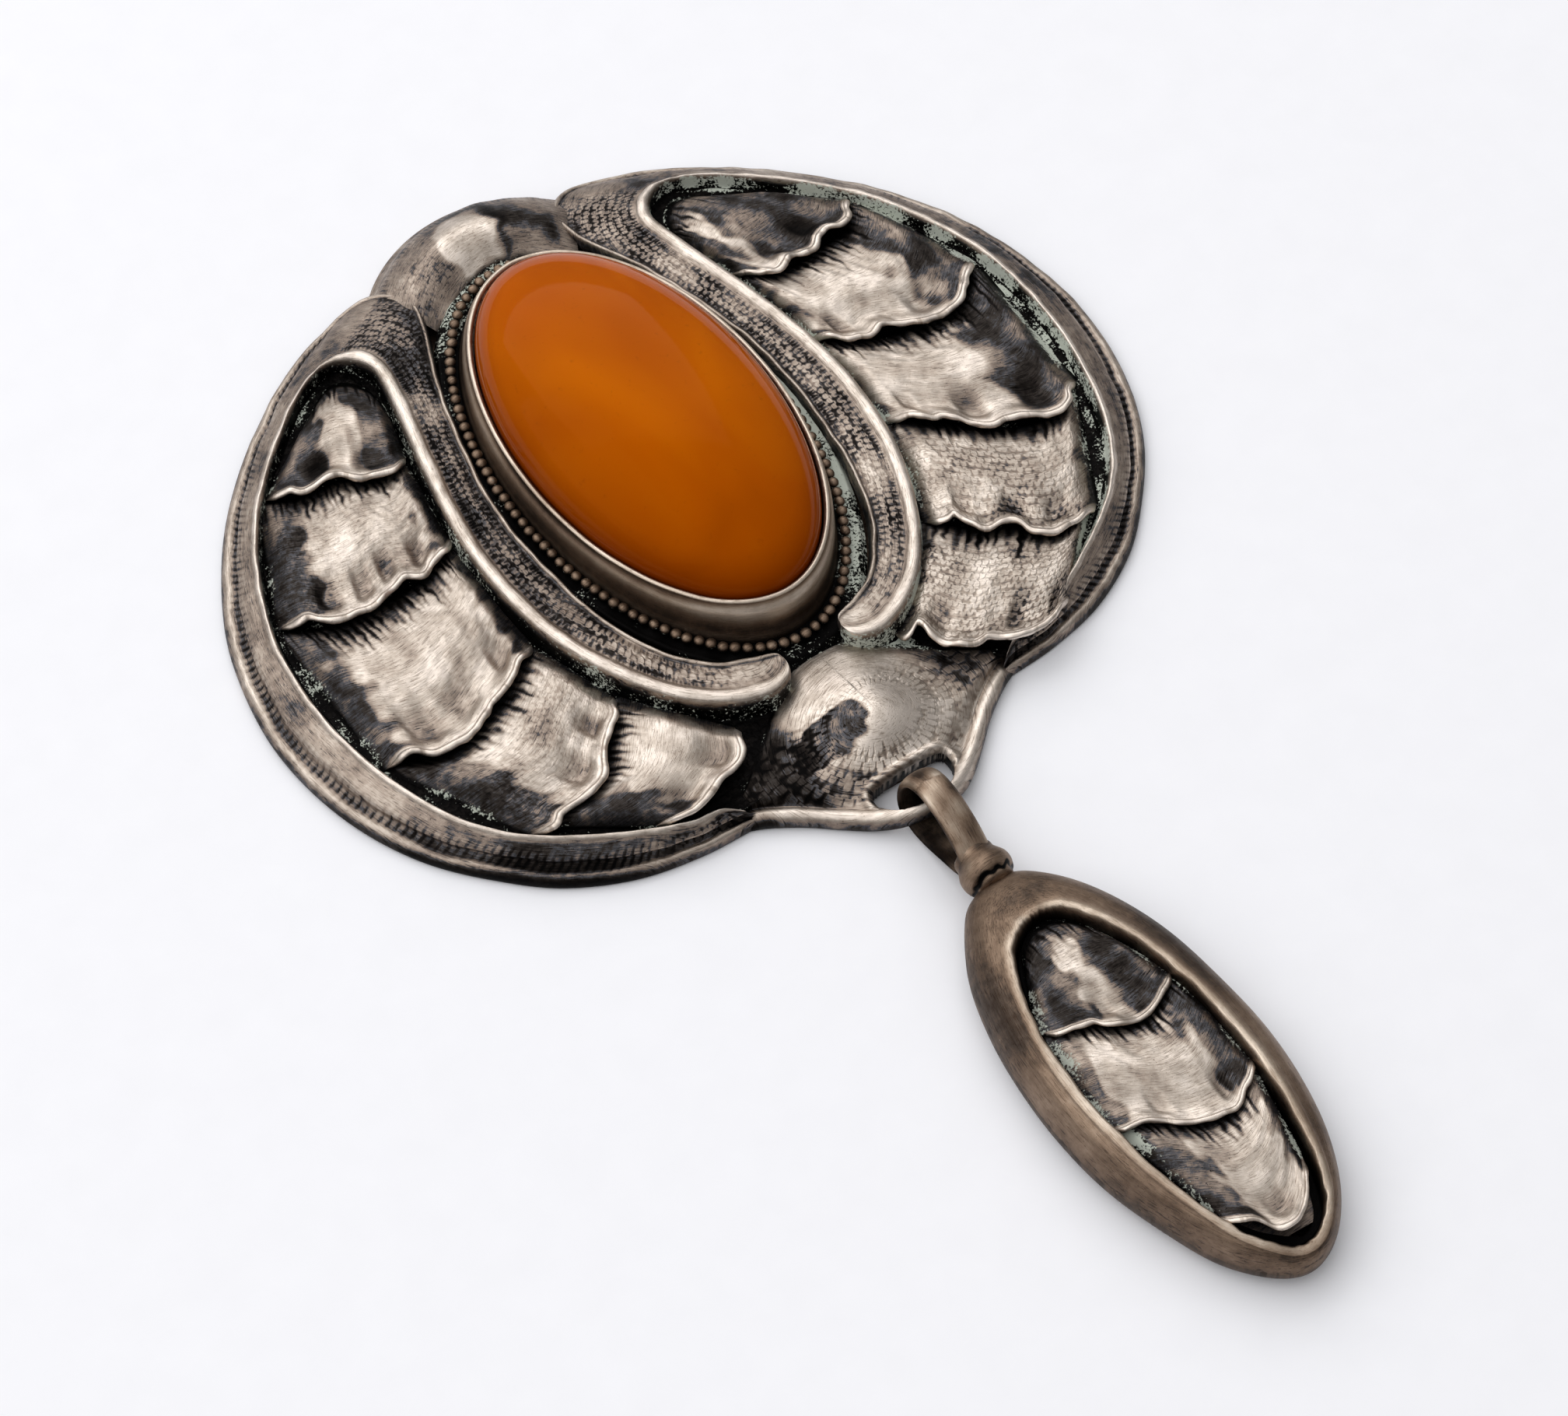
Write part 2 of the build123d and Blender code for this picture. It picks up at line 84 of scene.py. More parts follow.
# Tail: peak of its boss, shell round it, arch of the bar below the slot, and the slot
boss_x = 0.1
boss_y = -26.6
boss_z = 4.25
boss_half_width = 5.2
tail_z = 1.75
tail_half_width = 10.98
bar_lift = 1.2
bar_reach = 3.3
slot_x = -0.2
slot_half_width = 3.1
slot_top_y = -30.7
slot_bottom_y = -33.85

# Drop, bail and ferrule. The radii in the ferrule's table are taken times ferrule_size
drop_x = -0.75
drop_top_y = -41.4
drop_end_y = -76.1
drop_floor_z = 3.05
drop_lip_z = 4.55
bail_width = 2.4
bail_thickness = 0.9
bail_middle = (-35.5, 2.8)
ferrule_z = 2.5
ferrule_size = 0.96

# Sizes of what the chaser's punches left: scales along and across a band, strokes at its margins,
# notches behind the rolled edge
scale_along = 0.50
scale_across = 0.58
stroke_pitch = 0.48
notch_pitch = 0.62

# Spacing of the points that the relief is made from
fine = 0.12


# Lines and tables

def on_table(table, place):
    """Every column of a table at places between its rows, on a smooth curve."""
    rows = np.array([row[1:] for row in table], float)
    last = len(rows) - 1
    place = np.clip(np.asarray(place, float), 0, last)
    low = np.minimum(place.astype(int), last - 1)
    t = (place - low)[..., None]
    a, b, c, d = rows[np.maximum(low - 1, 0)], rows[low], rows[low + 1], rows[np.minimum(low + 2, last)]
    return b + 0.5 * t * ((c - a) + t * ((2 * a - 5 * b + 4 * c - d) + t * (3 * (b - c) + d - a)))


def section(table, share):
    """Columns of a table at shares of the way through its rows."""
    return on_table(table, share * (len(table) - 1)).T


def even_places(table, columns, share):
    """Places in a table at shares of the length of the line that two of its columns describe."""
    places = np.linspace(0, len(table) - 1, len(table) * 40)
    line = on_table(table, places)[:, columns]
    steps = np.linalg.norm(np.diff(line, axis=0), axis=1)
    length = np.concatenate([[0.0], np.cumsum(steps)])
    return np.interp(share * length[-1], length, places), length[-1]


def smooth_line(points, closed=False):
    """Dense smooth line through a few points, with the length up to each of its points."""
    points = list(points)
    if closed:
        points = [points[-1], *points, points[0], points[1]]
    table = [("", *point) for point in points]
    first, last = (1, len(points) - 2) if closed else (0, len(points) - 1)
    line = on_table(table, np.linspace(first, last, (last - first) * 30 + 1))
    steps = np.linalg.norm(np.diff(line, axis=0), axis=1)
    return line, np.concatenate([[0.0], np.cumsum(steps)])


def along(line, share):
    """Points at shares of a smooth line's length."""
    points, length = line
    place = np.asarray(share) * length[-1]
    return np.stack([np.interp(place, length, points[:, i]) for i in range(points.shape[1])], -1)


def step(low, high, value):
    """Smooth step from 0 to 1 between two values."""
    t = np.clip((np.asarray(value, float) - low) / (high - low), 0, 1)
    return t * t * (3 - 2 * t)


def hump(value, middle, width):
    """Bell of height 1 round a middle."""
    return np.exp(-(((np.asarray(value, float) - middle) / width) ** 2))


def pingpong(value):
    """0 at even numbers and 1 at odd ones."""
    return 1 - np.abs(np.asarray(value, float) % 2 - 1)


def waves(x, y, size, seed):
    """Gentle unevenness between about -1 and 1, with waves of about a size."""
    picker = np.random.default_rng(seed)
    total = np.zeros(np.broadcast(x, y).shape)
    for turn, phase, stretch in picker.uniform((0, 0, 0.6), (math.tau, math.tau, 1.7), (7, 3)):
        total += np.sin((np.cos(turn) * x + np.sin(turn) * y) * math.tau / (size * stretch) + phase)
    return total / 3.0


# Meshes

# What the materials read at each point of a piece besides its lay, with the value where none is given
# The first trait holds rubbed wear, and in places painted shade, painted dark reflections and painted
# highlights
TRAITS = {"polish_and_painted_light": 0.5, "soot": 0.0, "salt": 0.0, "scales": 0.0, "strokes": 0.0}


def paint(mesh, made):
    """Values that the materials read at each point of a mesh."""
    lay = made.get("lay", np.stack([made["x"], made["y"], made["z"]], -1))
    layer = mesh.attributes.new("lay", "FLOAT_VECTOR", "POINT")
    layer.data.foreach_set("vector", np.ascontiguousarray(lay, float).ravel())
    for name, usual in TRAITS.items():
        values = np.zeros(len(made["x"])) + made.get(name, usual)
        layer = mesh.attributes.new(name, "FLOAT", "POINT")
        layer.data.foreach_set("value", np.clip(values, 0, 1))


def store_smooth(bm, mesh):
    """Puts finished faces, shaded smooth, into a mesh."""
    for face in bm.faces:
        face.smooth = True
    bm.to_mesh(mesh)
    bm.free()


def grid_mesh(name, shape, u_steps, v_steps, close=False, face_down=False):
    """Mesh bent from a flat grid. shape takes u and v from 0 to 1 and gives x, y, z in millimetres and
    any of: lay (millimetres along and across the form, then count of strokes), and from 0 to 1 polish,
    soot, salt, scales and strokes. close merges the points that meet at a seam or a pole."""
    bm = bmesh.new()
    bmesh.ops.create_grid(bm, x_segments=u_steps, y_segments=v_steps, size=1.0)
    mesh = bpy.data.meshes.new(name)
    bm.to_mesh(mesh)
    bm.free()
    flat = np.zeros(len(mesh.vertices) * 3)
    mesh.vertices.foreach_get("co", flat)
    flat = flat.reshape(-1, 3)
    made = shape((flat[:, 0] + 1) / 2, (flat[:, 1] + 1) / 2)
    place = np.stack([made["x"], made["y"] + middle_y, np.maximum(made["z"], table_gap)], -1) * MM
    mesh.vertices.foreach_set("co", place.ravel())
    paint(mesh, made)
    bm = bmesh.new()
    bm.from_mesh(mesh)
    if close:
        bmesh.ops.remove_doubles(bm, verts=bm.verts, dist=0.002 * MM)
    if close and not face_down:
        bmesh.ops.recalc_face_normals(bm, faces=bm.faces)
    else:
        bm.normal_update()
        up = sum(face.normal.z * face.calc_area() for face in bm.faces)
        if (up < 0) != face_down:
            bmesh.ops.reverse_faces(bm, faces=bm.faces)
    store_smooth(bm, mesh)
    return mesh


def join_meshes(name, meshes):
    """One mesh from several, which are removed."""
    bm = bmesh.new()
    for mesh in meshes:
        bm.from_mesh(mesh)
        bpy.data.meshes.remove(mesh)
    joined = bpy.data.meshes.new(name)
    store_smooth(bm, joined)
    return joined


def piece(mesh, material, node):
    """Object on the brooch's body that stands for a CAD node."""
    thing = bpy.data.objects.new(mesh.name, mesh)
    bpy.context.scene.collection.objects.link(thing)
    mesh.materials.append(material)
    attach(thing, "root")
    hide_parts(node)


# Materials

# Noise of the silver's finish, per metre: patches of tarnish of about 4 mm, mottling of 0.9 mm and grain
# of 0.2 mm
patch_scale = 260.0
mottle_scale = 1100.0
grain_scale = 5200.0
# Marks per millimetre along and across a form: brush marks of about 1.5 by 0.12 mm and scratches of
# about 0.9 by 0.05 mm
brush_marks = (0.65, 8.0, 0.0)
scratch_marks = (1.1, 21.0, 0.0)
# Black in the hollows and pale salt in the corners
soot_colour = "#0D0C0C"
salt_colour = "#BDC2B6"


def linear(code):
    """Linear colour of an sRGB hex value."""
    values = [int(code[i : i + 2], 16) / 255 for i in (1, 3, 5)]
    return (*[v / 12.92 if v <= 0.04045 else ((v + 0.055) / 1.055) ** 2.4 for v in values], 1.0)


def add_node(tree, kind, inputs=None, out=0, stops=(), **settings):
    """New node with its settings and colour stops, and inputs set or linked. Gives the output asked for."""
    node = tree.nodes.new("ShaderNode" + kind)
    for name, value in settings.items():
        setattr(node, name, value)
    for socket, value in (inputs or {}).items():
        if isinstance(value, bpy.types.NodeSocket):
            tree.links.new(value, node.inputs[socket])
        else:
            node.inputs[socket].default_value = value
    for number, (place, colour) in enumerate(stops):
        elements = node.color_ramp.elements
        element = elements[number] if number < 2 else elements.new(place)
        element.position = place
        element.color = linear(colour) if isinstance(colour, str) else (colour, colour, colour, 1.0)
    return node.outputs[out] if len(node.outputs) else node


def new_material(name):
    """Material without nodes, and its node tree."""
    material = bpy.data.materials.new(name)
    material.use_nodes = True
    material.node_tree.nodes.clear()
    return material, material.node_tree


def old_silver(name, colours, uneven, chased=False):
    """Silver blackened all over and then rubbed: warm and satin on what stands up, a film of blue-grey
    round the rubbed patches, black in the hollows and pale salt in the corners."""
    material, tree = new_material(name)
    place = add_node(tree, "TexCoord", out="Object")
    lay = add_node(tree, "Attribute", out="Vector", attribute_name="lay")
    polish_and_painted_light, soot, salt, scales, strokes = [
        add_node(tree, "Attribute", out="Fac", attribute_name=trait) for trait in TRAITS
    ]
    patches = add_node(tree, "TexNoise", {"Vector": place, "Scale": patch_scale, "Detail": 3.0})
    mottle = add_node(tree, "TexNoise", {
        "Vector": place, "Scale": mottle_scale, "Detail": 4.0, "Roughness": 0.6,
    })
    grain = add_node(tree, "TexNoise", {
        "Vector": place, "Scale": grain_scale, "Detail": 3.0, "Roughness": 0.65,
    })
    brushed = add_node(tree, "Mapping", {"Vector": lay, "Scale": brush_marks})
    brushed = add_node(tree, "TexNoise", {"Vector": brushed, "Scale": 1.0, "Detail": 4.0, "Roughness": 0.65})
    scratched = add_node(tree, "Mapping", {
        "Vector": lay, "Scale": scratch_marks, "Rotation": (0.0, 0.0, 0.12),
    })
    scratched = add_node(tree, "TexNoise", {
        "Vector": scratched, "Scale": 1.0, "Detail": 3.0, "Distortion": 0.4,
    })

    # Rubbed more here and less there, with scratches and dark specks. What is taken off is half of the
    # four weights, which leaves the average about as it was
    cloudy = add_node(tree, "Math", {0: patches, 1: 0.42}, operation="MULTIPLY")
    for texture, weight in ((mottle, 0.46), (brushed, 0.38), (grain, 0.18)):
        cloudy = add_node(tree, "Math", {0: texture, 1: weight, 2: cloudy}, operation="MULTIPLY_ADD")
    cloudy = add_node(tree, "Math", {0: cloudy, 1: 0.72}, operation="SUBTRACT")
    # The rubbed value also carries the painted shade and painted highlights that the pieces put into their
    # first trait
    rubbed = add_node(tree, "Math", {0: cloudy, 1: uneven, 2: polish_and_painted_light}, operation="MULTIPLY_ADD")
    marks = add_node(tree, "ValToRGB", {"Fac": scratched}, stops=[(0.56, 0.0), (0.64, 1.0)])
    specks = add_node(tree, "ValToRGB", {"Fac": grain}, stops=[(0.63, 0.0), (0.70, 1.0)])
    for texture, weight in ((marks, -0.20), (specks, -0.22)):
        rubbed = add_node(tree, "Math", {0: texture, 1: weight * uneven, 2: rubbed}, operation="MULTIPLY_ADD")
    height = add_node(tree, "Math", {0: brushed, 1: 0.25}, operation="MULTIPLY")
    for texture, weight in ((mottle, 0.5), (marks, -0.12), (grain, 0.18)):
        height = add_node(tree, "Math", {0: texture, 1: weight, 2: height}, operation="MULTIPLY_ADD")

    if chased:
        # Punched scales, each row half a scale further than the last, and strokes at the margins, all
        # worn away here and there
        cells = add_node(tree, "Mapping", {
            "Vector": lay, "Scale": (1.0 / scale_along, 1.0 / scale_across, 0.0),
        })
        row = add_node(tree, "SeparateXYZ", {"Vector": cells}, "Y")
        row = add_node(tree, "Math", {0: row}, operation="FLOOR")
        row = add_node(tree, "CombineXYZ", {"X": row})
        cells = add_node(tree, "VectorMath", {0: row, 1: (0.5, 0.0, 0.0), 2: cells}, operation="MULTIPLY_ADD")
        cells = add_node(tree, "TexVoronoi", {"Vector": cells, "Scale": 1.0, "Randomness": 0.40}, "Distance",
                         voronoi_dimensions="2D")
        groove = add_node(tree, "ValToRGB", {"Fac": cells}, stops=[(0.38, 0.0), (0.48, 0.6), (0.60, 1.0)])
        groove = add_node(tree, "Math", {0: groove, 1: scales}, operation="MULTIPLY")
        beat = add_node(tree, "SeparateXYZ", {"Vector": lay}, "Z")
        beat = add_node(tree, "Math", {0: mottle, 1: 0.5, 2: beat}, operation="MULTIPLY_ADD")
        beat = add_node(tree, "Math", {0: beat, 1: 1.0}, operation="PINGPONG")
        stroke = add_node(tree, "ValToRGB", {"Fac": beat}, stops=[(0.5, 0.0), (0.8, 1.0)])
        stroke = add_node(tree, "Math", {0: stroke, 1: strokes}, operation="MULTIPLY")
        cut = add_node(tree, "Math", {0: groove, 1: stroke}, operation="MAXIMUM")
        wear = add_node(tree, "ValToRGB", {"Fac": patches}, stops=[(0.40, 1.0), (0.62, 0.35)])
        dark = add_node(tree, "Math", {0: cut, 1: wear}, operation="MULTIPLY")
        rubbed = add_node(tree, "Math", {0: dark, 1: -0.46, 2: rubbed}, operation="MULTIPLY_ADD")
        height = add_node(tree, "Math", {0: cut, 1: -0.8, 2: height}, operation="MULTIPLY_ADD")

    stops = list(zip((0.0, 0.2, 0.34, 0.42, 0.50, 0.64, 0.82, 1.0), colours))
    colour = add_node(tree, "ValToRGB", {"Fac": rubbed}, stops=stops)
    hidden = add_node(tree, "Math", {0: mottle, 1: 0.6, 2: soot}, operation="MULTIPLY_ADD")
    hidden = add_node(tree, "ValToRGB", {"Fac": hidden}, stops=[(0.55, 0.0), (0.95, 1.0)])
    crust = salt
    for texture, weight in ((mottle, 0.9), (grain, 1.6)):
        crust = add_node(tree, "Math", {0: texture, 1: weight, 2: crust}, operation="MULTIPLY_ADD")
    crust = add_node(tree, "Math", {0: crust, 1: 1.25}, operation="SUBTRACT")
    crust = add_node(tree, "ValToRGB", {"Fac": crust}, stops=[(0.48, 0.0), (0.60, 1.0)])
    for share, code in ((hidden, soot_colour), (crust, salt_colour)):
        colour = add_node(tree, "Mix", {0: share, 6: colour, 7: linear(code)}, 2, data_type="RGBA")
    rough = add_node(tree, "ValToRGB", {"Fac": rubbed}, stops=[(0.1, 0.42), (0.45, 0.40), (0.95, 0.30)])
    for texture, weight in ((grain, 0.22), (crust, 0.5)):
        rough = add_node(tree, "Math", {0: texture, 1: weight, 2: rough}, operation="MULTIPLY_ADD")
    metal = add_node(tree, "Math", {0: 1.0, 1: crust}, operation="SUBTRACT")
    bump = add_node(tree, "Bump", {"Strength": 0.6, "Distance": 0.00008, "Height": height})
    shader = add_node(tree, "BsdfPrincipled", {
        "Base Color": colour, "Metallic": metal, "Roughness": rough, "Normal": bump,
    })
    add_node(tree, "OutputMaterial", {"Surface": shader})
    return material


def butterscotch_amber():
    """Polished opaque amber: cloudy orange that darkens to red-brown towards the lower edge."""
    material, tree = new_material("butterscotch_amber")
    place = add_node(tree, "TexCoord", out="Object")
    # Clouds of about 8 mm, drawn out along the stone, and flecks of about 0.7 mm
    drawn = add_node(tree, "Mapping", {"Vector": place, "Scale": (1.0, 0.5, 1.0)})
    clouds = add_node(tree, "TexNoise", {"Vector": drawn, "Scale": 120.0, "Detail": 2.0, "Distortion": 0.5})
    flecks = add_node(tree, "TexNoise", {"Vector": place, "Scale": 1500.0, "Detail": 4.0, "Roughness": 0.65})
    colour = add_node(tree, "ValToRGB", {"Fac": clouds}, stops=[
        (0.3, "#9C4600"), (0.5, "#AD5000"), (0.7, "#BA5C00"),
    ])
    # Darker towards the lower end, from 2 mm to 24 mm below the plate's middle, and in the pores. Painted
    # shade towards the left wing, from 3 mm to 9 mm off the middle, and round the rim, up to 2.2 mm above the
    # collet
    x, y, z = [add_node(tree, "SeparateXYZ", {"Vector": place}, axis) for axis in "XYZ"]
    lower = add_node(tree, "MapRange", {"Value": y, 1: middle_y * MM - 0.002, 2: middle_y * MM - 0.024})
    lower = add_node(tree, "Math", {0: lower, 1: clouds}, operation="MULTIPLY")
    left = add_node(tree, "MapRange", {"Value": x, 1: -0.003, 2: -0.009, 4: 0.42})
    painted_rim_shade = add_node(tree, "MapRange", {
        "Value": z, 1: (collet_top_z + 2.2) * MM, 2: (collet_top_z - 0.2) * MM, 4: 0.75,
    })
    pores = add_node(tree, "ValToRGB", {"Fac": flecks}, stops=[(0.62, 0.0), (0.74, 0.35)])
    for share, code in ((lower, "#641F00"), (left, "#6E2A00"), (painted_rim_shade, "#6A2300"), (pores, "#7E3A04")):
        colour = add_node(tree, "Mix", {0: share, 6: colour, 7: linear(code)}, 2, data_type="RGBA")
    rough = add_node(tree, "ValToRGB", {"Fac": flecks}, stops=[(0.3, 0.04), (0.8, 0.11)])
    bump = add_node(tree, "Bump", {"Strength": 0.15, "Distance": 0.00002, "Height": flecks})
    shader = add_node(tree, "BsdfPrincipled", {
        "Base Color": colour, "Roughness": rough, "IOR": 1.54, "Specular IOR Level": 0.08,
        "Specular Tint": linear("#FF9C28"), "Subsurface Weight": 0.2, "Subsurface Scale": 0.0015,
        "Subsurface Radius": (1.0, 0.45, 0.1), "Normal": bump,
    })
    add_node(tree, "OutputMaterial", {"Surface": shader})
    return material


def plain_paper():
    """Smooth white paper under the brooch."""
    material, tree = new_material("white_paper")
    fibres = add_node(tree, "TexNoise", {"Scale": 900.0, "Detail": 3.0})
    colour = add_node(tree, "ValToRGB", {"Fac": fibres}, stops=[(0.3, "#F4F4F8"), (0.7, "#F6F6FA")])
    shader = add_node(tree, "BsdfPrincipled", {"Base Color": colour, "Roughness": 0.85})
    add_node(tree, "OutputMaterial", {"Surface": shader})
    return material


# From black hollows through the blue-grey film to silver that is rubbed bright
chased_colours = ("#0C0B0B", "#201C1A", "#3C3734", "#4E4F54", "#7E7066", "#9E9084", "#BBAFA3", "#DDD1C6")
# Plain parts keep a brown skin
plain_colours = ("#120D0A", "#251C17", "#40332A", "#50453D", "#6B594B", "#8A7665", "#AA9988", "#D2C3B3")
chased = old_silver("chased_silver", chased_colours, 1.0, chased=True)
worn = old_silver("rubbed_silver", plain_colours, 0.55)
amber_look = butterscotch_amber()

# The band round each recess: place, ridge x and y, outer edge x and y, 0 on the rail and 1 on the rim,
# height of the ridge
BAND = [
    ("tip of tongue", 2.38, -19.45, 2.38, -19.45, 0.0, 3.62),
    ("tongue", 2.52, -20.40, 2.62, -18.75, 0.0, 3.68),
    ("tongue", 3.25, -21.10, 3.35, -18.35, 0.0, 3.76),
    ("tongue", 4.80, -21.35, 4.35, -18.05, 0.0, 3.82),
    ("rail", 7.20, -20.50, 6.10, -17.25, 0.0, 3.85),
    ("rail", 9.70, -18.60, 7.75, -15.55, 0.0, 3.85),
    ("rail", 11.90, -15.60, 9.40, -12.90, 0.0, 3.85),
    ("rail", 13.70, -11.90, 10.50, -9.70, 0.0, 3.85),
    ("rail", 14.90, -7.80, 11.10, -6.50, 0.0, 3.85),
    ("rail", 15.40, -3.40, 11.45, -3.00, 0.0, 3.85),
    ("rail", 15.35, 0.80, 11.60, 0.70, 0.0, 3.85),
    ("rail", 14.80, 4.80, 11.25, 4.60, 0.0, 3.85),
    ("rail", 13.95, 9.00, 10.45, 8.50, 0.0, 3.85),
    ("rail", 12.95, 13.20, 9.30, 12.80, 0.0, 3.80),
    ("rail", 12.30, 16.30, 8.00, 16.30, 0.0, 3.65),
    ("head", 12.15, 18.00, 6.85, 19.00, 0.0, 3.50),
    ("head", 12.70, 19.30, 6.35, 21.30, 0.0, 3.35),
    ("head", 13.70, 20.05, 6.90, 23.40, 0.15, 3.20),
    ("shoulder", 14.60, 20.25, 8.90, 24.85, 0.6, 3.10),
    ("shoulder crest", 15.60, 20.10, 12.40, 24.50, 1.0, 3.00),
    ("rim", 17.30, 19.30, 16.40, 22.90, 1.0, 2.90),
    ("rim", 20.40, 16.90, 20.90, 19.90, 1.0, 2.90),
    ("rim", 23.60, 13.90, 25.00, 16.30, 1.0, 2.90),
    ("rim", 26.40, 10.30, 28.50, 12.10, 1.0, 2.90),
    ("rim", 28.60, 5.90, 31.60, 6.70, 1.0, 2.90),
    ("rim", 29.90, 2.00, 33.20, 1.90, 1.0, 2.90),
    ("rim", 30.45, -2.50, 34.00, -3.40, 1.0, 2.90),
    ("rim", 30.30, -7.00, 33.70, -8.40, 1.0, 2.90),
    ("rim", 29.40, -11.60, 32.50, -13.10, 1.0, 2.90),
    ("rim", 27.60, -16.40, 30.40, -17.40, 1.0, 2.90),
    ("rim", 24.90, -20.10, 27.40, -21.10, 1.0, 2.85),
    ("rim", 21.30, -22.70, 23.90, -24.30, 1.0, 2.75),
    ("rim", 17.50, -24.80, 19.40, -26.60, 1.0, 2.75),
    ("foot", 14.60, -25.95, 14.80, -27.60, 1.0, 2.60),
    ("foot", 12.60, -26.10, 10.80, -27.85, 1.0, 2.30),
    ("under the tail", 11.20, -26.90, 9.70, -28.10, 1.0, 1.90),
]
# Section of the band on the rail and on the rim: share of the width, distance added in millimetres,
# height below the ridge (rail) or above the surface (rim), rubbed, sooty
BAND_SECTION = [
    ("under the floor", 0.0, -0.45, -2.15, 0.0, -0.45, 1.65, 0.0, 1.0),
    ("foot of wall", 0.0, -0.20, -1.95, 0.0, -0.20, 1.85, 0.0, 1.0),
    ("wall", 0.0, -0.06, -0.90, 0.0, -0.05, 2.40, 0.35, 0.5),
    ("inner side", 0.0, 0.08, -0.24, 0.0, 0.04, 2.74, 0.80, 0.0),
    ("ridge", 0.0, 0.44, 0.00, 0.0, 0.20, 2.90, 1.0, 0.0),
    ("outer side", 0.0, 0.88, -0.07, 0.0, 0.40, 2.80, 0.90, 0.0),
    ("foot of ridge", 0.0, 1.18, -0.26, 0.0, 0.58, 2.58, 0.62, 0.0),
    ("face", 0.35, 0.45, -0.33, 0.25, 0.35, 2.30, 0.62, 0.0),
    ("face", 0.65, 0.15, -0.42, 0.55, 0.05, 1.88, 0.70, 0.0),
    ("end of face", 1.0, -0.62, -0.54, 1.0, -1.40, 1.34, 0.58, 0.0),
    ("foot of edge", 1.0, -0.42, -0.56, 1.0, -1.00, 1.06, 0.42, 0.1),
    ("edge rises", 1.0, -0.32, -0.44, 1.0, -0.78, 1.05, 0.62, 0.0),
    ("edge", 1.0, -0.18, -0.38, 1.0, -0.52, 1.07, 0.78, 0.0),
    ("edge falls", 1.0, -0.04, -0.48, 1.0, -0.26, 0.94, 0.70, 0.0),
    ("side", 1.0, 0.06, -0.78, 1.0, -0.08, 0.66, 0.45, 0.1),
    ("foot of side", 1.0, 0.14, -1.00, 1.0, 0.00, 0.30, 0.40, 0.2),
    ("turned under", 1.0, 0.20, -1.15, 1.0, -0.10, 0.05, 0.35, 0.2),
    ("sole", 1.0, 0.20, -1.30, 1.0, -0.36, 0.00, 0.50, 0.0),
    ("sole", 1.0, 0.10, -1.50, 1.0, -0.80, 0.00, 0.50, 0.0),
    ("inside", 1.0, 0.00, -1.60, 1.0, -1.05, 0.55, 0.30, 0.3),
]
# Middle of the head, counted in rows of the band's table
head_place = 15.6

# In the shapes that follow, s and t are millimetres along a form and across it. On a lappet, s goes
# along its lip, down goes from its root to its lip, and t is the share of that way


